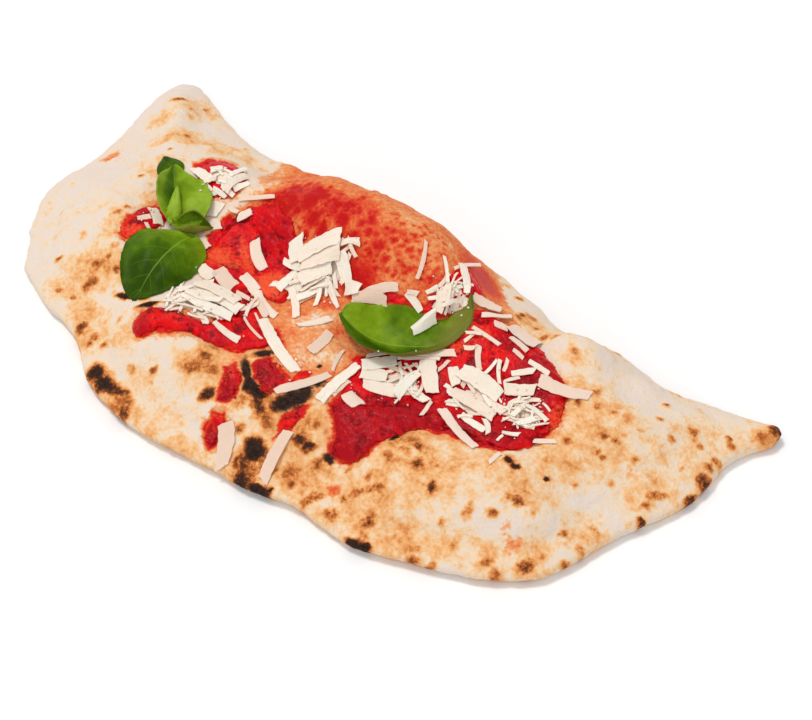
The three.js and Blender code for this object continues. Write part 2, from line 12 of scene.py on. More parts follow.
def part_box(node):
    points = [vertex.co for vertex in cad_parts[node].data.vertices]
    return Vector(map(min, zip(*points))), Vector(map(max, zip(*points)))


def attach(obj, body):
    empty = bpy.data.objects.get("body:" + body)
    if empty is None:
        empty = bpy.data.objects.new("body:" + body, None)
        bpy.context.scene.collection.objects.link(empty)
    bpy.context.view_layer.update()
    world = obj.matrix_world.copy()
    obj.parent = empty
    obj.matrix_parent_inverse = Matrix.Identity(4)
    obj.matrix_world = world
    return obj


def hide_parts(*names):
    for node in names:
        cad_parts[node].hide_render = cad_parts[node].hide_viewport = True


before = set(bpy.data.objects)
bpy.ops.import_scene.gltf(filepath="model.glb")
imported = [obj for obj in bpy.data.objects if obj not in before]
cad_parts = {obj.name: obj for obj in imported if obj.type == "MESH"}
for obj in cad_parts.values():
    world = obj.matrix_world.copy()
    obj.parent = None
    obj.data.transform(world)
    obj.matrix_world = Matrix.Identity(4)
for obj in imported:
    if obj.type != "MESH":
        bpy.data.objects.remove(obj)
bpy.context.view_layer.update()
mm = 0.001


def addObject(name, data):
    made = bpy.data.objects.new(name, data)
    bpy.context.scene.collection.objects.link(made)
    return made


# view: the camera, and the rays that carry a place in its frame on to the food

view = {
    "azimuth": 37, "elevation": 50,  # degrees
    "distance": 1000 * mm, "lens": 106.4, "sensor": 36,
    "target": (13.93 * mm, 14.97 * mm, 15 * mm),  # this point is seen at the place below
    "targetPlace": (400, 332), "size": (812, 720),  # pixels
    "edgeHeight": 8 * mm,  # of the crust's edge, for a place just past it
}


def viewAxes():
    azimuth = math.radians(view["azimuth"])
    elevation = math.radians(view["elevation"])
    flat = math.cos(elevation)
    back = Vector((math.sin(azimuth) * flat, -math.cos(azimuth) * flat, math.sin(elevation)))
    right = Vector((math.cos(azimuth), math.sin(azimuth), 0))
    return right, back.cross(right), back


right, up, back = viewAxes()
forward = Vector((-right.y, right.x, 0))  # away from the camera, on the table
focal = view["lens"] / view["sensor"] * view["size"][0]  # pixels


def pixelSlope(u, v):
    return (u - view["size"][0] / 2) / focal, (view["size"][1] / 2 - v) / focal


def cameraPlace():
    x, y = pixelSlope(*view["targetPlace"])
    return Vector(view["target"]) + (back - right * x - up * y) * view["distance"]


def makeCamera():
    data = bpy.data.cameras.new("camera")
    data.lens = view["lens"]
    data.sensor_width = view["sensor"]
    camera = addObject("camera", data)
    turned = Matrix((right, up, back)).transposed().to_4x4()
    camera.matrix_world = Matrix.Translation(cameraPlace()) @ turned
    bpy.context.scene.camera = camera


def spotOn(tree, u, v):
    x, y = pixelSlope(u, v)
    place, ahead = cameraPlace(), right * x + up * y - back
    hit = tree.ray_cast(place, ahead.normalized())[0]
    if not hit:
        hit = place + ahead * ((view["edgeHeight"] - place.z) / ahead.z)
    return Vector((hit.x, hit.y))


makeCamera()
print("camera made")


# helpers for meshes

highUp = 100 * mm  # above everything


def addMesh(name, bm):
    mesh = bpy.data.meshes.new(name)
    bm.to_mesh(mesh)
    bm.free()
    return addObject(name, mesh)


def mergedCopy(name, nodes):
    bm = bmesh.new()
    for node in nodes:
        bm.from_mesh(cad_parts[node].data)
    bmesh.ops.remove_doubles(bm, verts=bm.verts, dist=0.001 * mm)
    for layer in list(bm.loops.layers.uv.values()):
        bm.loops.layers.uv.remove(layer)
    return addMesh(name, bm)


def modify(piece, kind, **settings):  # and the result becomes the piece's own mesh
    modifier = piece.modifiers.new(kind, kind)
    for name, value in settings.items():
        setattr(modifier, name, value)
    seen = piece.evaluated_get(bpy.context.evaluated_depsgraph_get())
    mesh = bpy.data.meshes.new_from_object(seen)
    piece.modifiers.clear()
    piece.data = mesh


def remeshed(name, nodes, voxel, rounds):  # a copy in even faces, softened so many times
    piece = mergedCopy(name, nodes)
    modify(piece, "REMESH", mode="VOXEL", voxel_size=voxel)
    bm = bmesh.new()
    bm.from_mesh(piece.data)
    for _ in range(rounds):
        bmesh.ops.smooth_vert(
            bm, verts=bm.verts, factor=0.5, use_axis_x=True, use_axis_y=True, use_axis_z=True)
    bm.to_mesh(piece.data)
    bm.free()
    return piece


def perPoint(mesh, name):  # "co" or "normal", a row for each point
    found = np.empty(len(mesh.vertices) * 3, np.float32)
    mesh.vertices.foreach_get(name, found)
    return found.reshape(-1, 3).astype(float)


def moveTo(mesh, co):
    mesh.vertices.foreach_set("co", co.astype(np.float32).ravel())
    mesh.update()


def storeValue(mesh, name, values):
    attribute = mesh.attributes.new(name, "FLOAT", "POINT")
    attribute.data.foreach_set("value", np.asarray(values, np.float32))


def treeOf(*pieces):
    bm = bmesh.new()
    for piece in pieces:
        bm.from_mesh(piece.data)
    tree = BVHTree.FromBMesh(bm)
    bm.free()
    return tree


def topOf(tree, x, y):  # the height of what lies there, or 0
    hit = tree.ray_cast(Vector((x, y, highUp)), Vector((0, 0, -1)))[0]
    return hit.z if hit else 0


def noiseAt(co, size, shift=0.0):
    offset = Vector((shift, 2 * shift, 3 * shift))
    return np.array([noise.fractal(Vector(p) / size + offset, 1, 2, 2) for p in co])


def clamped(value):
    return min(1, max(0, value))


def smoothStep(values, low, high):
    t = np.clip((values - low) / (high - low), 0, 1)
    return t * t * (3 - 2 * t)


def finishPiece(piece, material, slot, *nodes, sharpAngle=None):
    mesh = piece.data
    mesh.materials.clear()
    mesh.materials.append(material)
    mesh.polygons.foreach_set("use_smooth", [True] * len(mesh.polygons))
    if sharpAngle:
        mesh.set_sharp_from_angle(angle=math.radians(sharpAngle))
    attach(piece, "root")
    if nodes:
        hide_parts(*nodes)
    return piece


# helpers for materials

def tint(red, green, blue):
    return tuple((c / 12.92 if c <= 0.04045 else ((c + 0.055) / 1.055) ** 2.4)
                 for c in (red / 255, green / 255, blue / 255)) + (1,)


def newMaterial(name):
    material = bpy.data.materials.new(name)
    material.use_nodes = True
    return material, material.node_tree


def feed(tree, socket, value):
    if isinstance(value, bpy.types.NodeSocket):
        tree.links.new(value, socket)
    else:
        socket.default_value = value


def compute(tree, operation, *values):
    node = tree.nodes.new("ShaderNodeMath")
    node.operation = operation
    for socket, value in zip(node.inputs, values):
        feed(tree, socket, value)
    return node.outputs[0]


def step(tree, value, low, high):
    node = tree.nodes.new("ShaderNodeMapRange")
    node.interpolation_type = "SMOOTHSTEP"
    for name, given in (("Value", value), ("From Min", low), ("From Max", high)):
        feed(tree, node.inputs[name], given)
    return node.outputs["Result"]


def shaken(tree, value, *noises):  # each noise moves the value by up to its reach, either way
    for texture, reach in noises:
        value = compute(tree, "ADD", value, compute(tree, "MULTIPLY_ADD", texture, 2 * reach, -reach))
    return value


def blendColors(tree, share, first, second):
    node = tree.nodes.new("ShaderNodeMix")
    node.data_type = "RGBA"
    feed(tree, node.inputs["Factor"], share)
    feed(tree, node.inputs[6], first)
    feed(tree, node.inputs[7], second)
    return node.outputs[2]


def paintOver(tree, color, value, low, high, over):  # shows fully where the value reaches high
    return blendColors(tree, step(tree, value, low, high), color, over)


def rampOf(tree, value, stops):
    node = tree.nodes.new("ShaderNodeValToRGB")
    elements = node.color_ramp.elements
    while len(elements) < len(stops):
        elements.new(0.5)
    for element, (position, color) in zip(elements, stops):
        element.position = position
        element.color = tint(*color)
    feed(tree, node.inputs[0], value)
    return node.outputs["Color"]


def attributeOf(tree, name):
    node = tree.nodes.new("ShaderNodeAttribute")
    node.attribute_name = name
    return node.outputs["Fac"]


def objectPlaces(tree):
    return tree.nodes.new("ShaderNodeTexCoord").outputs["Object"]


def uvPlaces(tree, name):
    node = tree.nodes.new("ShaderNodeUVMap")
    node.uv_map = name
    return node.outputs[0]


def noiseOf(tree, at, size, detail=3, roughness=0.6):
    node = tree.nodes.new("ShaderNodeTexNoise")
    tree.links.new(at, node.inputs["Vector"])
    node.inputs["Scale"].default_value = 1 / size
    node.inputs["Detail"].default_value = detail
    node.inputs["Roughness"].default_value = roughness
    return node.outputs["Fac"]


def cellsOf(tree, at, size):
    node = tree.nodes.new("ShaderNodeTexVoronoi")
    tree.links.new(at, node.inputs["Vector"])
    node.inputs["Scale"].default_value = 1 / size
    split = tree.nodes.new("ShaderNodeSeparateColor")
    tree.links.new(node.outputs["Color"], split.inputs[0])
    return node.outputs["Distance"], split.outputs[0]


def bumpOf(tree, height, depth, after=None):
    node = tree.nodes.new("ShaderNodeBump")
    node.inputs["Distance"].default_value = depth
    tree.links.new(height, node.inputs["Height"])
    if after:
        tree.links.new(after, node.inputs["Normal"])
    return node.outputs["Normal"]


def dress(material, sockets):
    tree = material.node_tree
    for name, value in sockets.items():
        feed(tree, tree.nodes["Principled BSDF"].inputs[name], value)
    return material


# tomato: where the sauce lies. An outline is a list of (u, v) places in the camera's frame, in
# pixels. A mark is such a place, its half-length and half-width in mm, its turn in degrees on the
# table, from the camera's right, and its strength.

tomato = {
    "wet": {
        "left": [
            (207, 238), (214, 231), (223, 219), (231, 214), (243, 222), (256, 219), (276, 215), (292, 224),
            (301, 240), (293, 258), (295, 272), (280, 277), (262, 268), (248, 262), (240, 275), (228, 268),
            (212, 268), (204, 256),
        ],
        "strings": [
            (236, 290), (246, 284), (254, 298), (262, 316), (276, 330), (284, 342), (264, 347), (250, 351),
            (236, 352), (222, 348), (214, 340), (200, 336), (186, 329), (172, 333), (155, 332), (146, 338),
            (134, 336), (133, 324), (140, 311), (156, 309), (175, 316), (205, 322), (232, 310),
        ],
        "crater": [
            (253, 366), (258, 360), (270, 359), (281, 367), (290, 380), (300, 372), (313, 371), (312, 377),
            (300, 382), (290, 388), (281, 395), (262, 389), (253, 380),
        ],
        "middle": [
            (370, 302), (385, 291), (400, 296), (425, 305), (445, 282), (458, 268), (470, 272), (480, 286),
            (486, 300), (474, 300), (462, 300), (448, 318), (424, 315), (392, 308),
        ],
        "front": [
            (474, 318), (490, 317), (502, 330), (517, 340), (530, 352), (547, 365), (563, 380), (569, 396),
            (563, 412), (556, 428), (545, 438), (528, 444), (512, 451), (497, 453), (480, 447), (455, 438),
            (430, 433), (405, 430), (388, 438), (370, 453), (350, 464), (338, 464), (327, 455), (331, 440),
            (333, 424), (328, 404), (340, 392), (344, 372), (356, 358), (380, 354), (440, 356), (458, 346),
        ],
        "dripHigh": [(226, 366), (237, 364), (240, 378), (236, 396), (226, 403), (217, 399), (220, 382)],
        "dripLow": [
            (204, 428), (212, 412), (224, 414), (232, 428), (226, 436), (217, 434), (214, 447), (207, 451),
            (203, 440),
        ],
        "dripRight": [
            (311, 407), (300, 406), (288, 411), (280, 419), (277, 430), (273, 441), (279, 438), (287, 432),
            (296, 425), (304, 417),
        ],
        "corner": [
            (195, 164), (210, 160), (234, 165), (240, 178), (236, 195), (222, 200), (205, 196), (198, 178)],
        "side": [
            (119, 232), (127, 216), (148, 205), (162, 207), (163, 222), (150, 232), (136, 239), (122, 238)],
    },
    "thin": {
        "all": [
            (240, 206), (250, 192), (262, 176), (290, 164), (350, 174), (400, 194), (446, 216), (482, 248),
            (498, 268), (504, 292), (510, 308), (518, 324), (548, 360), (574, 388), (571, 412), (561, 436),
            (530, 448), (500, 457), (470, 449), (430, 436), (402, 434), (374, 457), (345, 468), (322, 457),
            (326, 430), (320, 400), (300, 396), (285, 396), (262, 352), (232, 356), (212, 344), (150, 340),
            (130, 330), (134, 308), (170, 308), (205, 300), (200, 262), (205, 238), (226, 212),
        ],
        "dripHigh": [(222, 352), (246, 350), (244, 374), (240, 400), (228, 410), (214, 400), (218, 376)],
        "dripLow": [(202, 424), (214, 402), (228, 404), (236, 428), (218, 452), (204, 456)],
        "dripRight": [
            (269, 446), (273, 428), (277, 414), (288, 405), (308, 401), (315, 406), (306, 420), (288, 437),
        ],
        "corner": [(190, 162), (212, 157), (238, 162), (246, 182), (240, 202), (204, 204)],
        "side": [(113, 236), (124, 212), (150, 200), (170, 204), (168, 226), (138, 245), (118, 243)],
    },
    "smears": [
        (335, 490, 3.4, 1.8, -20, 0.6), (514, 545, 3, 2.6, 0, 0.42), (112, 158, 4, 2.4, 30, 0.42),
        (600, 400, 5, 3, 0, 0.18), (630, 470, 6, 3, 0, 0.15), (548, 478, 3, 3, 0, 0.2),
        (505, 528, 2, 2, 0, 0.3),
    ],
    "thinShare": 0.46, "thinEdge": 1.8 * mm, "thinFull": 9 * mm, "atEdge": 0.62,
    "wetShare": 0.95, "wetEdge": (-1 * mm, 0.6 * mm),
    "runsDown": (12 * mm, 30 * mm),  # it gives out between these, down the far slope
    "runs": (9 * mm, 14 * mm),  # and unevenly: size and reach
    "warp": (4 * mm, 1.5 * mm),  # the outlines waver: size and reach
    "hollows": [  # marks for the larger pits of the dome
        (311, 202, 2.6, 2.2, 0), (293, 201, 1.5, 2.4, 20), (281, 206, 1.3, 2, 10), (313, 219, 2, 2.4, 0),
        (321, 231, 2.1, 2.1, 0), (343, 221, 1.7, 2.4, 10), (371, 220, 1.6, 1.6, 0), (336, 206, 1.8, 1.1, 0),
        (353, 236, 2.6, 1.4, -20), (379, 246, 2.6, 1.4, -30), (297, 188, 3, 1.4, -30),
        (320, 192, 3, 1.2, -20), (362, 223, 1.2, 1.2, 0), (369, 232, 1.2, 1.2, 0), (386, 259, 1.4, 1, 0),
        (326, 196, 2, 1.4, -30), (305, 236, 1.4, 1.8, 0), (349, 205, 2, 1, -20), (395, 240, 1.2, 1, 0),
        (410, 250, 1.3, 1, 0),
    ],
    "ruddy": [  # where the thin sauce is redder
        (298, 198, 13, 6, -25, 0.42), (335, 208, 14, 6, -25, 0.3), (372, 224, 12, 6, -30, 0.16),
        (355, 262, 8, 4, -20, 0.3), (358, 278, 7, 5, -30, 0.5), (486, 284, 10, 6, -45, 0.45),
        (222, 262, 7, 7, 0, 0.3), (212, 283, 6, 5, 0, 0.16), (240, 300, 5, 4, 0, 0.2),
        (335, 330, 4, 3, 30, 0.25), (312, 345, 3, 4, 0, 0.25), (330, 305, 4, 3, 0, 0.2),
        (252, 240, 9, 12, 0, 0.3), (440, 292, 8, 4, -20, 0.2),
    ],
    "paler": [  # and where it is more golden
        (262, 188, 7, 4, 20, 0.5), (318, 350, 9, 8, 30, 0.5), (322, 322, 10, 5, 0, 0.4),
        (425, 232, 20, 8, -35, 0.2), (240, 288, 12, 5, -20, 0.35), (400, 330, 20, 6, 0, 0.2),
        (300, 290, 6, 6, 0, 0.3),
    ],
    "deep": [  # where the thick sauce is a darker crimson
        (278, 245, 9, 13, 0, 0.5), (350, 438, 11, 15, 0, 1), (398, 416, 15, 9, 0, 0.9),
        (445, 428, 14, 8, 0, 0.9), (535, 392, 10, 12, 0, 0.85), (492, 436, 15, 8, 0, 0.75),
        (515, 345, 7, 7, -40, 0.8), (268, 374, 9, 9, 0, 0.9), (228, 394, 4, 6, 0, 0.9),
        (209, 440, 4, 6, 0, 1), (140, 329, 4, 4, 0, 0.7), (225, 345, 8, 4, 0, 0.5),
        (143, 214, 5, 3, 0, 0.6), (455, 395, 9, 9, 0, 0.6),
    ],
    "orange": [  # and where it is thinned with oil
        (220, 259, 6, 5, -20, 1), (247, 264, 2.6, 11, 15, 0.9), (236, 268, 8, 3, 0, 0.8),
        (209, 242, 4, 3, 0, 0.3), (130, 232, 6, 3, 0, 0.8), (478, 338, 6, 3, -20, 0.8),
        (560, 425, 5, 8, 0, 0.8), (465, 352, 6, 3, 0, 0.7), (455, 408, 3, 2, 0, 0.8),
        (228, 370, 4, 5, 0, 0.6), (215, 415, 6, 2, 0, 0.6), (285, 430, 4, 7, 0, 0.3),
        (175, 318, 5, 2, 0, 0.5), (488, 284, 10, 8, -45, 1.3), (272, 288, 7, 6, 0, 1.2),
    ],
    "dome": [
        (255, 200), (290, 180), (350, 192), (400, 214), (440, 234), (468, 262), (440, 290), (380, 284),
        (350, 240), (300, 232), (262, 212),
    ],
    "pits": 420, "pitSeed": 3, "pitSize": (0.7 * mm, 1.5 * mm), "pitStrength": (0.4, 1),
    "pitInset": 1 * mm, "pitDepth": 0.6 * mm,
}
markShape = {"flatShare": 0.62, "flatFall": 0.35, "softFall": 0.5}  # a flat middle and a soft skirt


def regionDepth(co, tree, outline):  # distance inside the outline, less than 0 outside it
    corners = np.array([spotOn(tree, *place) for place in outline])
    inside = np.zeros(len(co), bool)
    nearest = np.full(len(co), np.inf)
    x, y = co[:, 0], co[:, 1]
    for (x1, y1), (x2, y2) in zip(corners, np.roll(corners, -1, 0)):
        crosses = (y1 > y) != (y2 > y)
        inside ^= crosses & (x < (x2 - x1) * (y - y1) / (y2 - y1 + 1e-12) + x1)
        sideX, sideY = x2 - x1, y2 - y1
        along = np.clip(((x - x1) * sideX + (y - y1) * sideY) / (sideX ** 2 + sideY ** 2), 0, 1)
        nearest = np.minimum(nearest, np.hypot(x - x1 - along * sideX, y - y1 - along * sideY))
    return np.where(inside, nearest, -nearest)


def markValues(co, tree, marks, share=1.0):
    values = np.zeros(len(co))
    for u, v, long, short, turn, *strength in marks:
        spot = spotOn(tree, u, v)
        x, y = co[:, 0] - spot.x, co[:, 1] - spot.y
        angle = math.radians(turn)
        alongRight = x * right.x + y * right.y
        alongForward = x * forward.x + y * forward.y
        a = (alongRight * math.cos(angle) + alongForward * math.sin(angle)) / (long * mm)
        b = (alongForward * math.cos(angle) - alongRight * math.sin(angle)) / (short * mm)
        away = a * a + b * b
        shape = markShape["flatShare"] * np.exp(-markShape["flatFall"] * away * away)
        shape += (1 - markShape["flatShare"]) * np.exp(-markShape["softFall"] * away)
        values = np.maximum(values, (strength or [share])[0] * shape)
    return values


def wavered(co, warp):
    size, reach = warp
    shifts = np.stack([noiseAt(co, size, 2.2), noiseAt(co, size, 7.7), np.zeros(len(co))], 1)
    return co + shifts * reach


# dough: the baked body with its blisters and scorch marks, which are given as the tomato's are. A
# mark without a strength has its kind's share.

dough = {
    "voxel": 1.12 * mm, "softRounds": 13, "swell": 0.4 * mm,
    "pebble": (11 * mm, 0.5 * mm), "skin": (3 * mm, 0.2 * mm),  # size and height
    "bubbles": 190, "bubbleSize": (1.6, 4.6), "bubbleRise": (0.25, 0.9), "bubbleSeed": 4,
    "warp": (3.5 * mm, 0.9 * mm), "saucePress": 0.3 * mm,
    "black": [
        (96, 374, 4, 3.4, -40, 0.9), (107, 385, 6, 3, -35, 0.95), (118, 392, 5, 2.2, -20, 0.8),
        (124, 412, 3.4, 2, -45, 0.76), (196, 329, 5, 2.2, -8), (208, 395, 3.8, 2.2, 12, 0.86),
        (266, 354.5, 4.4, 2, 0), (246, 370, 2.2, 6, 12), (249, 384, 3, 3.4, 0), (258, 392, 4.4, 2.8, -30),
        (258, 406, 2.4, 4.4, 8, 0.82), (284, 404, 4.4, 3.6, 0), (296, 399, 5.4, 4.6, 25),
        (305, 392, 4, 4, 30), (318, 383, 3.8, 2.8, 25), (319.5, 368, 1.6, 1.1, 30), (255, 450, 4, 4.4, 0),
        (243, 466, 2.4, 4.6, 8, 0.8), (241, 482, 3, 3.6, 0, 0.9), (259, 490, 4.4, 1.8, -20),
        (300, 441, 2.6, 2, -10, 0.86), (308, 446, 3, 1.8, -30, 0.86), (330, 458, 3, 1.6, -25),
        (382, 436, 4.6, 1.6, 25), (394, 438, 2, 2, 0), (353, 544, 3, 1.6, -35), (363, 549, 3, 1.7, -20),
        (547, 480, 1.5, 1.3, 0), (508, 461, 2.2, 1.4, -20), (516, 467, 2, 1.3, 0), (543, 579, 4, 1.2, 0),
        (536, 434, 3.4, 1.6, -20), (525, 380, 2.6, 1.3, 5), (704, 484, 3, 3.4, 0, 0.74),
        (690, 501, 3.4, 1.6, 30, 0.8), (640, 522, 1.8, 1.3, 0, 0.84), (777, 433, 3.6, 3, 0, 0.84),
        # (131, 297) and (148, 305) make a narrow black band on the crust along the large leaf's lower edge
        (271, 490, 0.8, 0.7, 0), (204, 331, 2.4, 1.6, 0), (131, 297, 7, 1.4, -30), (148, 305, 5, 1.2, 0),
        (368, 525, 1.8, 1.5, 0, 0.8),
    ],
    "brown": [
        (188, 368, 3.4, 2.6, 0), (200, 364, 4, 3, 10), (212, 369, 3.4, 2.6, -10), (206, 356, 3, 1.6, 0),
        (267, 420, 2.4, 4, 0), (284, 413, 2.4, 3.4, 0), (317, 464, 2.6, 2.2, 0), (316, 425, 1.5, 2.8, -10),
        (241, 428, 2.2, 2.4, 0), (292, 475, 3.4, 2.6, 0), (404, 449, 2, 1.6, 0), (419, 463, 2.2, 2, 0),
        (437, 466, 1.2, 1, 0), (432, 486, 2, 2.8, 0), (360, 492, 5, 1.6, 5), (374, 489, 5, 1.9, 0),
        (369, 519, 3.2, 2.8, 20), (334, 516, 2.4, 3.4, 0), (321, 498, 2.2, 1.8, 0), (306, 502, 2.4, 1.8, 0),
        (328, 513, 2, 2, 0), (415, 563, 3.4, 1.4, 0), (430, 566, 2.4, 1.2, 0), (468, 511, 2, 2.4, -30),
        (493, 513, 1.8, 1.6, 0), (518, 503, 2, 1.4, 0), (508, 496, 1.4, 1.2, 0), (486, 563, 3, 1.6, 0),
        (495, 572, 2.2, 1.8, 0), (528, 564, 3.4, 2.2, 20), (544, 556, 1.6, 1.6, 0), (441, 522, 1.6, 1.4, 0),
        (454, 547, 1.6, 1.6, 0), (417, 549, 2.6, 1.4, 0), (95, 338, 2.6, 2.2, 0), (105, 345, 1.8, 1.4, 0),
        (90, 345, 1.6, 1.6, 0), (596, 393, 1.8, 1.6, 0), (597, 407, 2, 1.7, 0), (614, 412, 1.8, 1.3, 0),
        (670, 439, 2.2, 2, 0), (666, 406, 1.6, 1.2, 0), (692, 431, 2, 1.5, 0), (716, 463, 2.4, 2, 0),
        (708, 468, 2, 2, 0), (649, 494, 2, 1.6, 0), (664, 496, 1.8, 1.4, 0), (594, 531, 1.8, 2.6, 30),
        (562, 534, 1.8, 1.5, 0), (580, 549, 1.6, 2, 0), (565, 566, 2.4, 1.4, 0), (616, 355, 1.8, 1.2, 0),
        (544, 339, 2.4, 1.4, 20), (522, 316, 1.6, 1, 0), (731, 446, 1.6, 1.2, 0), (180, 100, 3, 1.8, 0),
        (94, 281, 2.4, 2, 0), (110, 256, 1.5, 1.3, 0), (98, 265, 1.4, 1.2, 0), (118, 268, 2, 2.6, 0),
        (119, 213, 1.8, 1.2, 0), (141, 177, 1.7, 1.1, 0), (60, 291, 2.4, 1.4, 0), (74, 298, 2, 1.4, 0),
        (128, 208, 1.6, 1.2, 0), (204, 111, 1.4, 1.2, 0), (155, 370, 1.7, 1.4, 0), (574, 485, 2, 1.4, 0),
        (610, 485, 1.8, 1.5, 0), (634, 460, 1.7, 1.4, 0), (603, 458, 1.6, 1.3, 0), (660, 420, 1.5, 1.2, 0),
        (640, 430, 1.4, 1.2, 0), (615, 441, 1.7, 1.4, 0), (560, 420, 2, 1.8, 0), (578, 402, 1.8, 2.4, 0),
        (700, 448, 1.7, 1.3, 0), (728, 440, 1.4, 1.2, 0), (645, 505, 2, 1.5, 0), (681, 470, 1.7, 1.4, 0),
        (760, 436, 2, 1.3, 0), (350, 470, 1.6, 1.3, 0), (345, 500, 2, 1.6, 0), (272, 470, 2.4, 2, 0),
        (85, 325, 2, 1.4, 0), (60, 260, 1.6, 1, 0), (150, 215, 1.2, 1, 0), (170, 150, 1.4, 1, 0),
        (248, 476, 4, 8, 8, 0.66), (264, 468, 4, 5, 0), (767, 437, 6, 3.6, 0, 0.5),
        (418, 463, 2, 2, 0, 0.75), (432, 486, 1.8, 2.4, 0, 0.75), (519, 502, 2.6, 1.8, 0, 0.7),
        (525, 567, 4, 2.6, 10, 0.7), (654, 497, 3.6, 2.2, 10, 0.66), (510, 461, 4, 3, 0, 0.6),
        (240, 400, 4, 3, 0, 0.6), (98, 378, 7, 5, -40, 0.6), (122, 404, 5, 4, -40, 0.55),
        (530, 318, 3, 1.6, -40), (556, 338, 2.4, 1.6, 0), (536, 330, 2, 1.4, 0), (575, 352, 2, 1.4, 0),
        (518, 300, 2, 1.2, -30),
    ],
    "golden": [
        (207, 370, 14, 8, -15), (240, 385, 9, 8, 0), (275, 425, 11, 12, 0), (250, 470, 9, 12, 0),
        (320, 425, 9, 10, 0), (310, 480, 16, 9, -20), (360, 500, 18, 12, -10), (362, 480, 14, 6, 0),
        (400, 465, 16, 10, -15), (430, 480, 16, 12, 0), (470, 465, 14, 8, 0), (440, 545, 20, 5, -10),
        (395, 535, 14, 8, -10), (520, 480, 14, 10, 0), (560, 462, 12, 10, 0), (590, 400, 10, 12, 0),
        (600, 440, 16, 12, 0), (640, 440, 16, 12, 0, 0.26), (690, 440, 16, 10, 0, 0.2),
        (730, 445, 14, 7, 0, 0.12), (650, 490, 14, 8, 20), (690, 480, 10, 8, 30, 0.28),
        (585, 535, 8, 8, 20), (530, 560, 9, 7, 10), (490, 560, 11, 6, 0), (100, 400, 12, 7, -40),
        (150, 425, 12, 5, -40), (180, 450, 12, 5, -35),
        (93, 335, 8, 9, 0), (100, 270, 12, 10, 0), (125, 225, 8, 8, 0), (185, 135, 14, 7, 0),
        (225, 150, 10, 6, -20), (160, 165, 9, 6, 0), (205, 110, 8, 6, 0), (160, 120, 6, 6, 40),
        (65, 290, 10, 6, -20), (80, 310, 8, 6, -40), (130, 330, 8, 8, 0), (480, 252, 12, 4, -40),
        (430, 448, 16, 5, 5), (475, 455, 12, 4, 0), (186, 318, 5, 3, 0), (225, 350, 12, 5, 0, 0.4),
        (415, 437, 14, 5, 10, 0.5), (165, 398, 12, 7, -35, 0.2), (150, 375, 8, 6, -30, 0.14),
        (200, 362, 10, 6, 0, 0.45), (268, 402, 4, 5, 0, 0.45), (303, 425, 6, 8, 0, 0.42),
        (330, 184, 24, 4, -10), (430, 228, 16, 4, -30), (535, 330, 10, 6, -40), (580, 360, 8, 4, -30),
        (330, 340, 12, 10, 0), (770, 436, 8, 5, 0), (620, 415, 12, 8, 0), (155, 200, 9, 5, 10),
    ],
    "oiled": [
        (540, 503, 9, 4, 20), (560, 380, 14, 7, -30), (500, 500, 8, 3, 0), (680, 440, 9, 4, 0),
        (590, 430, 12, 5, 0), (400, 430, 14, 4, 0), (200, 225, 10, 6, 0), (570, 345, 12, 6, -40),
        (330, 330, 12, 9, 0), (560, 520, 8, 4, 20), (460, 452, 4, 2, 0),
    ],
    "shares": {"black": 1.05, "brown": 0.6, "golden": 0.34, "oiled": 1},
    "topFacing": (-0.2, 0.4), "bakedRise": 0.5 * mm, "charSink": 0.4 * mm, "charFrom": 0.8,
    "sauceNear": 1.2 * mm, "flatBelow": 0.25 * mm, "risesOver": (0.2 * mm, 2.5 * mm),
    "steep": 0.48, "browFacing": 0.3, "lowestFacing": -0.3,
    "behindSeed": 8, "behindFrom": 7 * mm, "behindFall": 0.7,
    "behind": {  # scattered on the far slopes: how many, least and most radius and height in mm, strength
        "golden": (30, 5, 12, 1, 60, 0.34), "brown": (80, 1.1, 2.6, 1, 60, 0.58),
        "black": (9, 2, 4, 0, 5, 1),
    },
    "patchSize": 24 * mm, "spotSize": 6 * mm, "fineSize": 1.5 * mm, "speckleSize": 9 * mm,
    "crustColors": [
        (0.0, (226, 209, 195)), (0.15, (232, 207, 177)), (0.3, (234, 184, 130)), (0.44, (224, 156, 94)),
        (0.56, (196, 114, 54)), (0.7, (130, 68, 32)), (0.92, (38, 27, 22)),
    ],
    "tomatoColors": [
        (0.0, (234, 188, 136)), (0.26, (234, 166, 110)), (0.44, (226, 132, 78)), (0.6, (218, 90, 48)),
        (0.78, (208, 46, 24)), (0.98, (190, 12, 10)),
    ],
    "ashColors": [(0.35, (18, 15, 14)), (0.7, (66, 42, 32))],
    "surface": {
        "Specular IOR Level": 0.12, "Subsurface Weight": 0.06, "Subsurface Radius": (1, 0.6, 0.35),
        "Subsurface Scale": 2 * mm,
    },
}


def pastBrow(co, facing):  # how far down the steep far slopes each place lies
    steep = facing @ np.array(forward) > dough["steep"]
    brow = KDTree(len(co))
    for i in np.flatnonzero(~steep & (facing[:, 2] > dough["browFacing"])):
        brow.insert(co[i], i)
    brow.balance()
    past = np.zeros(len(co))
    for i in np.flatnonzero(steep):
        past[i] = brow.find(co[i])[2]
    return past


def behindMarks(co, facing, past, kind):
    count, small, large, lowest, highest, strength = dough["behind"][kind]
    roll = random.Random(dough["behindSeed"])
    turned = (past > dough["behindFrom"]) & (facing[:, 2] > dough["lowestFacing"])
    chosen = np.flatnonzero(turned & (co[:, 2] > lowest * mm) & (co[:, 2] < highest * mm))
    values = np.zeros(len(co))
    for _ in range(count):
        centre = co[chosen[roll.randrange(len(chosen))]]
        near = ((co - centre) ** 2).sum(1) / (roll.uniform(small, large) * mm) ** 2
        values = np.maximum(values, strength * np.exp(-dough["behindFall"] * near))
    return values


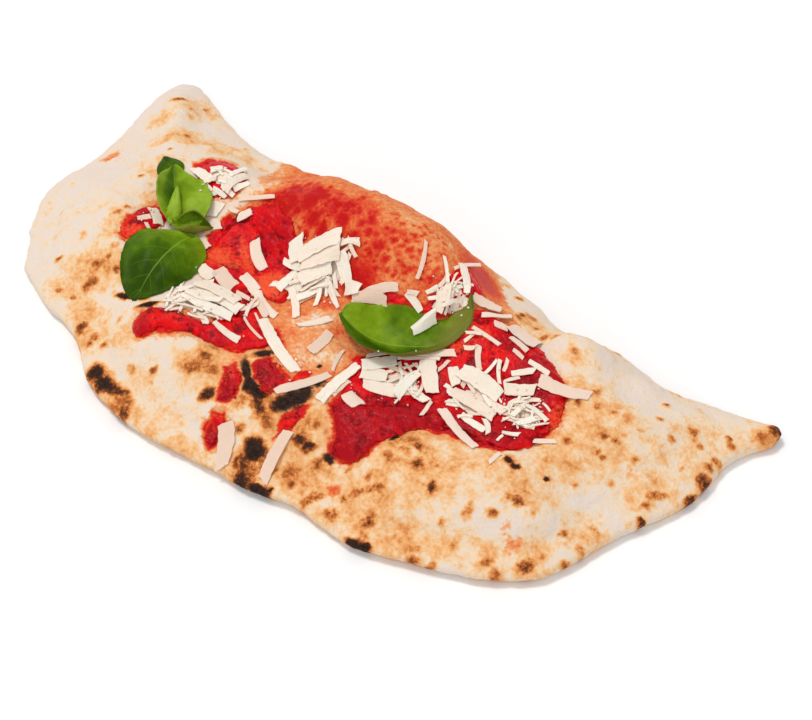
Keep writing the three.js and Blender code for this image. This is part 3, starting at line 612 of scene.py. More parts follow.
def bubbleHeights(co):
    roll = random.Random(dough["bubbleSeed"])
    heights = np.zeros(len(co))
    low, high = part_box("dough")
    for _ in range(dough["bubbles"]):
        x, y = roll.uniform(low.x, high.x), roll.uniform(low.y, high.y)
        radius = roll.uniform(*dough["bubbleSize"]) * mm
        rise = roll.uniform(*dough["bubbleRise"]) * mm
        near = ((co[:, 0] - x) ** 2 + (co[:, 1] - y) ** 2) / radius ** 2
        heights = np.maximum(heights, rise * np.clip(1 - near, 0, 1))
    return heights


def pitValues(co, tree):  # 1 at the middle of a pit
    roll = random.Random(tomato["pitSeed"])
    dome = regionDepth(co, tree, tomato["dome"])
    values = markValues(co, tree, tomato["hollows"])
    chosen = np.flatnonzero(dome > tomato["pitInset"])
    for _ in range(tomato["pits"]):
        centre = co[chosen[roll.randrange(len(chosen))]]
        low, high = tomato["pitSize"]
        radius = low + (high - low) * roll.random() ** 2
        near = ((co - centre) ** 2).sum(1) / radius ** 2
        values = np.maximum(values, roll.uniform(*tomato["pitStrength"]) * np.exp(-near))
    return values


def bakedMarks(co, facing, past, tree):
    baked = {}
    for kind in ("black", "brown", "golden"):
        values = markValues(co, tree, dough[kind], dough["shares"][kind])
        baked[kind] = np.maximum(values, behindMarks(co, facing, past, kind))
    return baked


def tomatoSpread(co, past, tree):  # how deep inside the pools each place lies, and how red it is
    wavy = wavered(co, tomato["warp"])
    wet, thin = (
        np.max([regionDepth(wavy, tree, outline) for outline in tomato[kind].values()], 0)
        for kind in ("wet", "thin"))
    red = smoothStep(thin, -tomato["thinEdge"], tomato["thinEdge"])
    red *= tomato["atEdge"] + (1 - tomato["atEdge"]) * smoothStep(thin, 0, tomato["thinFull"])
    red *= tomato["thinShare"] + markValues(wavy, tree, tomato["ruddy"])
    red *= 1 - markValues(wavy, tree, tomato["paler"])
    runSize, runReach = tomato["runs"]
    down = past + runReach * noiseAt(co, runSize, 4.4)
    red *= 1 - smoothStep(down, *tomato["runsDown"]) * (past > 0)
    red = np.maximum(red, markValues(wavy, tree, tomato["smears"]))
    return wet, np.maximum(red, tomato["wetShare"] * smoothStep(wet, *tomato["wetEdge"]))


def crustRise(co, topSide, baked, pits, sauceTree):
    pebbleSize, pebbleRise = dough["pebble"]
    skinSize, skinRise = dough["skin"]
    rise = pebbleRise * noiseAt(co, pebbleSize) + skinRise * noiseAt(co, skinSize, 3.7)
    rise += topSide * (bubbleHeights(co) + dough["bakedRise"] * np.maximum(baked["black"], baked["brown"]))
    rise -= topSide * dough["charSink"] * smoothStep(baked["black"], dough["charFrom"], 1)
    rise -= tomato["pitDepth"] * pits
    covered = [sauceTree.find_nearest(Vector(p), dough["sauceNear"])[0] is not None for p in co]
    return dough["swell"] + np.where(covered, -dough["saucePress"] - dough["swell"], rise)


def makeDough(sauceTree):
    piece = remeshed("calzone_dough", ["dough"], dough["voxel"], dough["softRounds"])
    mesh = piece.data
    co, facing = perPoint(mesh, "co"), perPoint(mesh, "normal")
    tree = treeOf(piece)
    topSide = smoothStep(facing[:, 2], *dough["topFacing"])
    past = pastBrow(co, facing)
    baked = bakedMarks(wavered(co, dough["warp"]), facing, past, tree)
    wet, red = tomatoSpread(co, past, tree)
    pits = pitValues(co, tree)
    rise = crustRise(co, topSide, baked, pits, sauceTree)
    moved = co + facing * (rise * smoothStep(co[:, 2], *dough["risesOver"]))[:, None]
    low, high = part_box("dough")
    moved = np.clip(moved, np.array(low), np.array(high))
    moved[co[:, 2] < dough["flatBelow"], 2] = 0
    moveTo(mesh, moved)
    looks = {
        "baked": np.maximum(np.maximum(baked["brown"], baked["golden"]), baked["black"]),
        "tomato": red * topSide,
        "wet": np.where(topSide > 0.5, wet / mm, -9),
        "pits": pits,
        "oiled": markValues(co, tree, dough["oiled"], dough["shares"]["oiled"]),
    }
    for name, values in looks.items():
        storeValue(mesh, name, values)
    return piece


def doughMaterial():
    material, tree = newMaterial("baked_dough")
    at = objectPlaces(tree)
    patches = noiseOf(tree, at, dough["patchSize"], 4)
    spots = noiseOf(tree, at, dough["spotSize"], 5, 0.65)
    fine = noiseOf(tree, at, dough["fineSize"], 4)
    heat, spread, pits, oiled = (attributeOf(tree, name) for name in ("baked", "tomato", "pits", "oiled"))
    distance, chance = cellsOf(tree, at, dough["speckleSize"])
    speckle = compute(tree, "SUBTRACT", compute(tree, "MULTIPLY", chance, 0.3), distance)
    speckle = compute(tree, "MULTIPLY", step(tree, speckle, -0.12, 0.16), step(tree, patches, 0.3, 0.6))
    warmth = shaken(tree, heat, (spots, 0.34), (patches, 0.34), (fine, 0.14))
    warmth = compute(tree, "ADD", warmth, compute(tree, "MULTIPLY", speckle, 0.3))
    calm = shaken(tree, heat, (fine, 0.3), (spots, 0.26))  # inside a mark, where less varies
    warmth = paintOver(tree, warmth, heat, 0.35, 0.7, calm)
    color = rampOf(tree, warmth, dough["crustColors"])
    redness = shaken(tree, spread, (spots, 0.3))
    redness = compute(tree, "ADD", redness, compute(tree, "MULTIPLY", pits, 0.46))
    redness = shaken(tree, redness, (fine, 0.24))
    color = paintOver(tree, color, redness, 0.12, 0.32, rampOf(tree, redness, dough["tomatoColors"]))
    color = paintOver(tree, color, calm, 0.58, 1, rampOf(tree, fine, dough["ashColors"]))
    wet = compute(tree, "MAXIMUM", step(tree, redness, 0.45, 0.9), step(tree, oiled, 0.35, 0.8))
    roughness = compute(tree, "MULTIPLY_ADD", wet, -0.42, 0.8)
    normal = bumpOf(tree, fine, 0.25 * mm, after=bumpOf(tree, spots, 0.6 * mm))
    return dress(material, {
        "Base Color": color, "Roughness": roughness, "Normal": normal, **dough["surface"]})


sauceNodes = [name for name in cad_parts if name.startswith("sauce_")]
plainSauce = mergedCopy("plain_sauce", sauceNodes)
doughPiece = makeDough(treeOf(plainSauce))
bpy.data.objects.remove(plainSauce)
finishPiece(doughPiece, doughMaterial(), "dough", "dough")
doughTree = treeOf(doughPiece)
print("dough made", len(doughPiece.data.polygons), "faces")


# sauce: crushed tomato, thick pools and the wet film between them

sauce = {
    "voxel": 0.65 * mm, "softRounds": 3, "swell": 0.2 * mm,
    "lump": (5 * mm, 0.6 * mm), "pulp": (1.9 * mm, 0.32 * mm),  # size and height
    "nearCrust": 0.05 * mm, "edgeRelief": 0.35,
    "full": 2.2 * mm,  # depth at which the sauce shows its full colour
    "thinning": 0.6,  # how much flatter it lies where it runs out
    "filmLow": -0.45 * mm, "filmHigh": 0.6 * mm, "filmBody": 1.2 * mm,
    "filmFrom": -0.8, "filmEdge": (-0.6, 2.6), "filmFull": 4,  # mm inside the outlines
    "scarlet": tint(224, 6, 8), "cherry": tint(208, 6, 24), "crimson": tint(170, 6, 22),
    # the darkest red is painted shade, laid in the hollows of the pulp
    "paintedHollowShade": tint(138, 2, 14), "thinRed": tint(230, 70, 30), "oily": tint(236, 84, 44),
    # the pale pink is a painted highlight, laid on the pulp's high points
    "paintedPulpHighlight": tint(214, 62, 50),
    "surface": {
        "Specular IOR Level": 0.11, "Subsurface Weight": 0.12, "Subsurface Radius": (1, 0.1, 0.06),
        "Subsurface Scale": 2 * mm,
    },
}


def pulpRelief(co):
    lumpSize, lumpRise = sauce["lump"]
    pulpSize, pulpRise = sauce["pulp"]
    return lumpRise * noiseAt(co, lumpSize, 1.3) + pulpRise * noiseAt(co, pulpSize, 5.1)


def storeLooks(mesh, depth, relief):
    storeValue(mesh, "depth", depth)
    storeValue(mesh, "relief", np.clip(0.5 + relief / (sauce["lump"][1] + sauce["pulp"][1]), 0, 1))
    for kind in ("deep", "orange"):
        storeValue(mesh, kind, markValues(perPoint(mesh, "co"), doughTree, tomato[kind]))


def makeSauce(node):
    piece = remeshed("tomato_" + node, [node], sauce["voxel"], sauce["softRounds"])
    mesh = piece.data
    co, facing = perPoint(mesh, "co"), perPoint(mesh, "normal")
    crust = np.array([topOf(doughTree, x, y) for x, y, z in co])
    depth = np.maximum(co[:, 2] - crust, sauce["nearCrust"])
    depth *= np.clip(depth / sauce["full"], 0, 1) ** sauce["thinning"]
    relief = pulpRelief(co)
    inside = np.clip(depth / sauce["full"], 0, 1)
    co[:, 2] = crust + depth
    share = sauce["edgeRelief"] + (1 - sauce["edgeRelief"]) * inside
    moveTo(mesh, co + facing * (sauce["swell"] + relief * share)[:, None])
    storeLooks(mesh, inside, relief)
    return piece


def makeFilm():
    bm = bmesh.new()
    bm.from_mesh(doughPiece.data)
    wet = bm.verts.layers.float["wet"]
    dry = [vert for vert in bm.verts if vert[wet] < sauce["filmFrom"]]
    bmesh.ops.delete(bm, geom=dry, context="VERTS")
    bmesh.ops.subdivide_edges(bm, edges=bm.edges, cuts=1, use_grid_fill=True)
    piece = addMesh("tomato_film", bm)
    mesh = piece.data
    co, facing = perPoint(mesh, "co"), perPoint(mesh, "normal")
    wetness = np.empty(len(mesh.vertices), np.float32)
    mesh.attributes["wet"].data.foreach_get("value", wetness)
    share = smoothStep(wetness, *sauce["filmEdge"])
    relief = pulpRelief(co) * share
    rise = sauce["filmLow"] + (sauce["filmHigh"] - sauce["filmLow"]) * share + relief
    moveTo(mesh, co + facing * rise[:, None])
    storeLooks(mesh, np.clip(wetness / sauce["filmFull"], 0, 1), relief)
    modify(piece, "SOLIDIFY", thickness=sauce["filmBody"], offset=-1)
    return piece


def sauceMaterial():
    material, tree = newMaterial("crushed_tomato")
    at = objectPlaces(tree)
    lumps = noiseOf(tree, at, 9 * mm, 3)
    pulp = noiseOf(tree, at, 1.6 * mm, 4)
    grain = cellsOf(tree, at, 1.5 * mm)[0]
    color = paintOver(tree, sauce["scarlet"], lumps, 0.4, 0.6, sauce["cherry"])
    deep = shaken(tree, attributeOf(tree, "deep"), (lumps, 0.3))
    color = paintOver(tree, color, deep, 0.15, 0.9, sauce["crimson"])
    relief = shaken(tree, attributeOf(tree, "relief"), (pulp, 0.5))
    # painted shade: darker red where the pulp's relief is low
    color = paintOver(tree, color, relief, 0.5, 0.1, sauce["paintedHollowShade"])
    depth = shaken(tree, attributeOf(tree, "depth"), (lumps, 0.6))
    color = paintOver(tree, sauce["thinRed"], depth, -0.05, 0.4, color)
    oily = shaken(tree, attributeOf(tree, "orange"), (pulp, 0.9))
    color = paintOver(tree, color, oily, 0.35, 1.1, sauce["oily"])
    # painted highlight: pale pink flecks where the pulp noise, which also drives the bump, is high
    color = paintOver(tree, color, pulp, 0.58, 0.74, sauce["paintedPulpHighlight"])
    roughness = compute(tree, "MULTIPLY_ADD", pulp, 0.3, 0.06)
    pips = compute(tree, "MULTIPLY", grain, step(tree, lumps, 0.62, 0.4))
    normal = bumpOf(tree, compute(tree, "MULTIPLY", pips, -1), 0.12 * mm)
    normal = bumpOf(tree, pulp, 0.5 * mm, after=normal)
    return dress(material, {
        "Base Color": color, "Roughness": roughness, "Normal": normal, **sauce["surface"]})


wetTomato = sauceMaterial()
saucePieces = [finishPiece(makeSauce(node), wetTomato, "sauce", node) for node in sauceNodes]
saucePieces.append(finishPiece(makeFilm(), wetTomato, "sauce"))
print("sauce made", sum(len(piece.data.polygons) for piece in saucePieces), "faces")


# ground: the height of everything laid so far, in small cells, which shreds and leaves settle on

ground = {"cell": 0.5 * mm, "low": (-122 * mm, -88 * mm), "high": (122 * mm, 62 * mm), "margin": 2}


def groundOver(tree):
    columns, rows = (
        np.arange(low, high, ground["cell"]) for low, high in zip(ground["low"], ground["high"]))
    return np.array([[topOf(tree, x, y) for y in rows] for x in columns])


foodTree = treeOf(doughPiece, *saucePieces)
heights = groundOver(foodTree)


def cellAt(x, y):
    i = round((x - ground["low"][0]) / ground["cell"])
    j = round((y - ground["low"][1]) / ground["cell"])
    margin, columns, rows = ground["margin"], *heights.shape
    return min(max(i, margin), columns - 1 - margin), min(max(j, margin), rows - 1 - margin)


def seatAt(x, y, reach=1):
    i, j = cellAt(x, y)
    return heights[i - reach:i + reach + 1, j - reach:j + reach + 1].max()


def raiseGround(x, y, z):
    i, j = cellAt(x, y)
    heights[i, j] = max(heights[i, j], z)


print("ground measured", heights.shape)


# cheese: shaved flakes and grated shreds. A shred is its two ends, as (u, v) in the camera's frame,
# and its width in mm. Its tone runs from 0, white, to 1, pink.

cheese = {
    "thickness": 0.45 * mm, "step": 1.6 * mm, "gap": 0.02 * mm, "settle": 6, "seed": 12,
    "ragged": 0.1, "endSkew": 0.35, "endSlip": 0.3 * mm, "narrowest": 0.7, "bow": 0.07,
    "lift": 0.4 * mm, "wide": 2.6 * mm, "steepest": 0.7,
    "sink": 0.55,  # the share of its height that a strewn shred adds to a heap
    "spread": 0.85,  # the share of a heap's box that shreds are strewn over
    "coreShare": 0.6, "coreRise": 0.7 * mm, "coreSunk": 0.4 * mm, "coreBumps": (4, 0.3),
    "coreTone": 0.5, "heapTones": (0, 0.55), "looseTones": (0.45, 1), "sharpAngle": 50,
    "colors": [
        (0.0, (248, 236, 218)), (0.4, (244, 225, 206)), (0.7, (239, 210, 191)), (1.0, (229, 198, 177)),
    ],
    "fibreColor": tint(236, 200, 178), "fibreStretch": 0.12,
    "surface": {
        "Roughness": 0.55, "Specular IOR Level": 0.2, "Subsurface Weight": 0.4,
        "Subsurface Radius": (1, 0.7, 0.55), "Subsurface Scale": 1.5 * mm,
    },
}
heapShreds = {
    "cheese_corner": [
        ((206, 186), (216, 196), 2), ((214, 190), (226, 199), 2.2), ((222, 186), (234, 197), 2.5),
        ((233, 190), (249, 184), 3), ((225, 194), (246, 177), 3.5), ((230, 178), (246, 172), 2.5),
        ((194, 169), (210, 185), 4.5), ((211, 172), (223, 170), 4.5),
    ],
    "cheese_left": [
        ((197, 312), (206, 325), 3), ((170, 311), (190, 306), 1.6), ((172, 305), (200, 299), 2),
        ((166, 297), (186, 294), 2), ((205, 315), (224, 320), 3), ((168, 301), (204, 292), 2.2),
        ((176, 307), (196, 302), 1.6), ((185, 298), (232, 318), 5), ((192, 290), (240, 312), 6),
        ((178, 292), (214, 286), 3.5), ((196, 286), (238, 303), 6), ((186, 296), (222, 305), 3),
    ],
    "cheese_centre": [
        ((272, 284), (292, 290), 3.5), ((296, 272), (278, 290), 4), ((300, 275), (292, 300), 5),
        ((313, 268), (308, 288), 6), ((291, 292), (296, 318), 3.5), ((328, 268), (322, 290), 6),
        ((284, 262), (305, 271), 3.5), ((331, 279), (297, 301), 3.5), ((339, 258), (347, 286), 5),
        ((345, 291), (360, 292), 5), ((330, 292), (338, 308), 2), ((297, 241), (299, 263), 6.5),
        ((300, 286), (332, 270), 7), ((334, 252), (360, 244), 3), ((302, 273), (340, 255), 8.5),
        ((299, 263), (341, 240), 8.5),
    ],
    "cheese_front": [
        ((366, 358), (394, 352), 2.5), ((405, 364), (412, 374), 1.3), ((414, 364), (423, 372), 1.6),
        ((398, 368), (410, 380), 2), ((411, 389), (427, 402), 4.5), ((386, 366), (402, 374), 2),
        ((363, 384), (399, 393), 6), ((361, 374), (387, 379), 7), ((362, 366), (397, 362), 6.5),
        ((428, 362), (433, 394), 7), ((396, 398), (418, 375), 4.5), ((397, 357), (441, 357), 4),
    ],
    "cheese_right": [
        ((446, 404), (459, 404), 4.5), ((461, 415), (485, 431), 3), ((445, 386), (456, 396), 2.2),
        ((486, 402), (510, 414), 4), ((453, 368), (456, 387), 4.5), ((484, 420), (488, 434), 2.5),
        ((452, 393), (493, 419), 6.5), ((460, 372), (500, 399), 8.5),
    ],
    "cheese_fine": [
        ((508, 405), (525, 402), 3), ((504, 382), (520, 378), 1.3), ((526, 401), (540, 401), 1.6),
        ((519, 425), (516, 412), 1.5), ((543, 404), (550, 412), 1), ((497, 441), (503, 436), 1.2),
        ((500, 361), (500, 385), 1.7), ((484, 376), (497, 362), 1.5), ((502, 433), (520, 435), 2),
        ((512, 420), (526, 408), 2.2), ((516, 427), (534, 421), 2.6), ((526, 409), (547, 424), 2.2),
        ((511, 375), (535, 372), 2.6), ((504, 390), (535, 391), 5.5),
    ],
    "cheese_high": [
        ((447, 300), (462, 287), 1.6), ((434, 310), (446, 296), 2.5), ((456, 285), (449, 310), 1.6),
        ((449, 274), (438, 288), 1.8), ((438, 288), (426, 294), 1.5), ((428, 300), (442, 300), 1.5),
        ((445, 290), (438, 321), 4.5), ((449, 286), (446, 312), 3), ((444, 257), (448, 286), 1.6),
        ((454, 270), (480, 272), 1.5), ((462, 267), (467, 297), 3.4), ((442, 318), (457, 303), 1.5),
    ],
}
heapExtras = {  # finer shreds strewn over each heap: how many, length and width in mm
    "cheese_corner": (10, (3, 7), (0.9, 1.8)), "cheese_left": (26, (6, 14), (0.7, 1.4)),
    "cheese_centre": (16, (5, 12), (0.9, 2)), "cheese_front": (12, (4, 9), (0.8, 1.8)),
    "cheese_right": (8, (5, 10), (0.9, 2)), "cheese_fine": (30, (4, 9), (0.6, 1.2)),
    "cheese_high": (8, (4, 9), (0.6, 1.2)),
}
shavingTones = {  # the others have the loose shreds' tones
    "shaving_rim_left": (0.95, 1), "shaving_rim_right": (0.95, 1), "shaving_dome": (0.7, 0.9),
    "shaving_wedge": (0.7, 0.9), "shaving_fold": (0.7, 0.9), "shaving_pool": (0.6, 0.8),
    "shaving_long": (0.1, 0.3), "shaving_white": (0, 0.2), "shaving_leaf": (0, 0.3),
    "shaving_round": (0.3, 0.5), "shaving_block": (0.6, 0.8),
}
looseShreds = [
    ((201, 268), (213, 280), 6), ((218, 270), (233, 289), 6.5), ((243, 276), (257, 294), 5),
    ((257, 294), (276, 317), 4), ((258, 302), (267, 318), 3.5), ((200, 238), (207, 250), 4.5),
    ((204, 229), (220, 224), 5.5), ((238, 219), (252, 212), 4), ((240, 310), (259, 306), 2),
    ((236, 295), (250, 300), 2.5), ((230, 209), (239, 214), 2.5), ((214, 323), (239, 341), 3.5),
    ((362, 296), (398, 288), 4), ((407, 294), (421, 313), 3), ((407, 294), (418, 295), 2),
    ((479, 346), (480, 371), 2.4), ((508, 360), (504, 372), 1.8), ((513, 350), (523, 359), 2),
    ((529, 362), (549, 375), 2.5), ((472, 328), (500, 346), 1.9), ((464, 342), (476, 333), 1.5),
    ((438, 371), (449, 361), 1.5), ((533, 442), (556, 442), 2.5), ((489, 463), (500, 454), 2),
    ((333, 396), (349, 381), 3), ((421, 416), (431, 402), 1.8), ((138, 220), (151, 217), 3),
    ((152, 209), (158, 225), 4), ((146, 223), (150, 232), 1.8), ((481, 316), (511, 318), 2.4),
    ((494, 324), (508, 331), 4), ((511, 338), (527, 352), 2.6), ((464, 349), (475, 350), 2),
    ((310, 352), (330, 333), 5.5), ((297, 326), (330, 319), 3), ((352, 300), (387, 303), 4),
    ((297, 305), (323, 292), 2), ((255, 313), (268, 340), 1.2), ((244, 318), (262, 340), 1.2),
    ((466, 333), (482, 336), 1.5), ((345, 268), (352, 290), 1.4), ((258, 300), (246, 316), 1.6),
    ((430, 366), (420, 362), 2), ((468, 372), (462, 388), 2),
]


def settle(seats, drop):  # a shred bridges the hollows, and falls by the drop at most from step to step
    steps, lanes = len(seats) - 1, len(seats[0]) - 1
    for _ in range(cheese["settle"]):
        for i in range(1, steps):
            seats[i] = [max(z, (seats[i - 1][k] + seats[i + 1][k]) / 2) for k, z in enumerate(seats[i])]
        for i in range(1, steps + 1):
            seats[i] = [max(z, seats[i - 1][k] - drop) for k, z in enumerate(seats[i])]
            seats[-1 - i] = [max(z, seats[-i][k] - drop) for k, z in enumerate(seats[-1 - i])]
        for row in seats:
            for k in range(1, lanes):
                row[k] = max(row[k], (row[k - 1] + row[k + 1]) / 2)


def coverGround(flat, seats, rise):  # what is laid next lies on this shred
    for i in range(len(seats) - 1):
        for k in range(len(seats[0]) - 1):
            seat = (seats[i][k] + seats[i + 1][k]) / 2
            for a in (0, 0.33, 0.67):
                for b in (0, 0.5):
                    near = flat[i][k].lerp(flat[i][k + 1], b)
                    far = flat[i + 1][k].lerp(flat[i + 1][k + 1], b)
                    place = near.lerp(far, a)
                    raiseGround(place.x, place.y, seat + rise)


def layShred(bm, roll, start, end, width, tones=cheese["heapTones"], stacking=1):
    tone, strip = bm.verts.layers.float["tone"], bm.loops.layers.uv["strip"]
    ahead = end - start
    along = ahead.normalized()
    across = Vector((-along.y, along.x))
    steps = max(3, round(ahead.length / cheese["step"]))
    lanes = 4 if width > cheese["wide"] else 2
    bow = roll.uniform(-1, 1) * cheese["bow"] * ahead.length
    skews = [roll.uniform(-1, 1) * cheese["endSkew"] * min(width, cheese["wide"]) for _ in range(2)]
    lift = roll.uniform(0, 1) * cheese["lift"]
    narrows = [roll.uniform(cheese["narrowest"], 1) for _ in range(2)]
    shade, shift = roll.uniform(*tones), roll.uniform(0, 100)
    flat, seats = [], []
    for i in range(steps + 1):
        s = i / steps
        middle = start + ahead * s + across * bow * 4 * s * (1 - s)
        breadth = width * (1 - (1 - narrows[0]) * (1 - s) ** 2 - (1 - narrows[1]) * s ** 2)
        row = []
        for k in range(lanes + 1):
            offset = (k / lanes - 0.5) * breadth
            if k in (0, lanes):
                offset *= 1 + roll.uniform(-1, 1) * cheese["ragged"]
            slide = offset / width * 2 * (skews[0] * (1 - s) + skews[1] * s)
            if i in (0, steps):
                slide += roll.uniform(-1, 1) * cheese["endSlip"]
            row.append(middle + across * offset + along * slide)
        flat.append(row)
        seats.append([seatAt(p.x, p.y) + cheese["gap"] for p in row])
    settle(seats, cheese["steepest"] * ahead.length / steps)
    made = bmesh.ops.create_grid(bm, x_segments=steps, y_segments=lanes, size=1)["verts"]
    for face in {face for vert in made for face in vert.link_faces}:
        for loop in face.loops:
            loop[strip].uv = (
                (loop.vert.co.x + 1) / 2 * ahead.length / mm + shift, loop.vert.co.y * width / mm / 2)
    for vert in made:
        i, k = round((vert.co.x + 1) / 2 * steps), round((vert.co.y + 1) / 2 * lanes)
        s = i / steps
        vert.co = (flat[i][k].x, flat[i][k].y, seats[i][k] + lift * (2 * s - 1) ** 2)
        vert[tone] = shade
    coverGround(flat, seats, cheese["thickness"] * stacking)


def newShreds():
    bm = bmesh.new()
    bm.verts.layers.float.new("tone")
    bm.loops.layers.uv.new("strip")
    return bm


def layShreds(bm, roll, shreds, tones=cheese["heapTones"]):
    for first, last, width in shreds:
        layShred(bm, roll, spotOn(foodTree, *first), spotOn(foodTree, *last), width * mm, tones)


def boxMiddle(node):  # and half its size
    low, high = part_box(node)
    return (low + high) / 2, (high - low) / 2


def strewShreds(bm, roll, node):
    count, lengths, widths = heapExtras[node]
    centre, half = boxMiddle(node)
    for _ in range(count):
        bearing, reach = roll.uniform(0, 2 * math.pi), cheese["spread"] * math.sqrt(roll.random())
        middle = centre.to_2d() + Vector((half.x * math.cos(bearing), half.y * math.sin(bearing))) * reach
        turn = roll.uniform(0, math.pi)
        ahead = Vector((math.cos(turn), math.sin(turn))) * roll.uniform(*lengths) * mm / 2
        layShred(
            bm, roll, middle - ahead, middle + ahead, roll.uniform(*widths) * mm, stacking=cheese["sink"])


def shredObject(name, bm):
    piece = addMesh(name, bm)
    modify(piece, "SOLIDIFY", thickness=cheese["thickness"], offset=1)
    return piece


def heapCore(node):  # a low bumpy mound, which the shreds are laid on
    bm = newShreds()
    tone = bm.verts.layers.float["tone"]
    centre, half = boxMiddle(node)
    half = half * cheese["coreShare"]
    often, deep = cheese["coreBumps"]
    made = bmesh.ops.create_icosphere(bm, subdivisions=3, radius=1)["verts"]
    for vert in made:
        bumpy = 1 + deep * noise.noise(vert.co * often)
        x, y = centre.x + vert.co.x * half.x * bumpy, centre.y + vert.co.y * half.y * bumpy
        rise = max(0, vert.co.z + 0.3) * cheese["coreRise"] * bumpy
        vert.co = (x, y, seatAt(x, y, 0) + rise - cheese["coreSunk"])
        vert[tone] = cheese["coreTone"]
    for vert in made:
        raiseGround(*vert.co)
    return addMesh(node + "_core", bm)


def makeHeap(node):
    roll = random.Random(cheese["seed"] + len(node))
    corePiece = heapCore(node)
    bm = newShreds()
    shreds = heapShreds[node]
    half = len(shreds) // 2
    layShreds(bm, roll, shreds[:half])
    strewShreds(bm, roll, node)
    layShreds(bm, roll, shreds[half:])
    piece = shredObject("grated_" + node, bm)
    joined = bmesh.new()
    joined.from_mesh(piece.data)
    joined.from_mesh(corePiece.data)
    joined.to_mesh(piece.data)
    joined.free()
    bpy.data.objects.remove(corePiece)
    return piece


def shavingEnds(node):  # the ends of the solid, along its longer way, and its width
    co = perPoint(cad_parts[node].data, "co")[:, :2]
    centre = co.mean(0)
    axes = np.linalg.svd(co - centre, full_matrices=False)[2]
    along, across = (co - centre) @ axes[0], (co - centre) @ axes[1]
    start, end = centre + axes[0] * along.min(), centre + axes[0] * along.max()
    return Vector(start), Vector(end), across.max() - across.min()


def makeShavings(name, nodes):
    roll = random.Random(cheese["seed"])
    bm = newShreds()
    for node in nodes:
        layShred(bm, roll, *shavingEnds(node), shavingTones.get(node, cheese["looseTones"]))
    return shredObject(name, bm)


def cheeseMaterial():
    material, tree = newMaterial("hard_cheese")
    stretch = tree.nodes.new("ShaderNodeMapping")
    tree.links.new(uvPlaces(tree, "strip"), stretch.inputs["Vector"])
    stretch.inputs["Scale"].default_value = (cheese["fibreStretch"], 1, 1)
    fibres = noiseOf(tree, stretch.outputs[0], 0.7, 3)
    crumb = noiseOf(tree, objectPlaces(tree), 1.1 * mm, 3)
    color = rampOf(tree, attributeOf(tree, "tone"), cheese["colors"])
    color = paintOver(tree, color, fibres, 0.5, 0.8, cheese["fibreColor"])
    normal = bumpOf(tree, crumb, 0.15 * mm, after=bumpOf(tree, fibres, 0.15 * mm))
    return dress(material, {"Base Color": color, "Normal": normal, **cheese["surface"]})


def finishCheese(piece, *nodes):
    return finishPiece(piece, hardCheese, "cheese", *nodes, sharpAngle=cheese["sharpAngle"])


hardCheese = cheeseMaterial()
looseMesh = newShreds()
layShreds(looseMesh, random.Random(cheese["seed"] + 1), looseShreds, cheese["looseTones"])
finishCheese(shredObject("cheese_loose", looseMesh))
lastHeap, lastShaving = "cheese_high", "shaving_leaf"  # laid after the leaf they touch
for heapNode in heapShreds:
    if heapNode != lastHeap:
        finishCheese(makeHeap(heapNode), heapNode)
shavingNodes = [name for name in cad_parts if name.startswith("shaving_") and name != lastShaving]
finishCheese(makeShavings("cheese_shavings", shavingNodes), *shavingNodes)
print("cheese made")


# basil: thin veined leaves. x, y, length, width, bow, puff and tuck are in mm, heading, roll and
# pitch in degrees; arch, cup, curl and hook are bends in radians.

basil = {
    "along": 60, "across": 30, "thickness": 0.5 * mm, "settle": 0.6, "gap": 0.2 * mm,
    "veins": 6, "veinSlant": 1.8, "quilt": 0.35 * mm, "rib": 0.6 * mm, "ripple": 0.03,
    "teeth": 9, "toothDepth": 0.03, "smooth": 6, "iron": 2,
    "hookFrom": 0.1,  # a share of the length, from the middle
    "pinchFrom": 0.45, "pinchOver": 0.28, "tuckFrom": 0.8, "turnOver": 0.14,  # shares of the length
    "paintedFoldShade": (0.2, 0.35),  # the painted shade stripe's place and width across the leaf, along its fold
    "colors": [(0.0, (44, 70, 2)), (0.35, (72, 104, 6)), (0.7, (118, 148, 18)), (1.0, (150, 178, 56))],
    "veinColor": tint(140, 168, 60), "veinShare": 0.5, "branchShare": 0.35,
    "underColor": tint(122, 118, 46), "underShare": 0.75,
    "surface": {
        "Roughness": 0.36, "Specular IOR Level": 0.05, "Subsurface Weight": 0.1,
        "Subsurface Radius": (0.4, 1, 0.1), "Subsurface Scale": 1 * mm,
    },
}
plainLeaf = {
    "lean": 0, "curl": 0, "bow": 0, "puff": 0, "tuck": 0, "roll": 0, "pitch": 0, "paintedStalkLight": 0, "hook": 0,
    "pinch": 0, "paintedFoldShade": 0, "nearShade": 0, "turnsOver": 2,
}
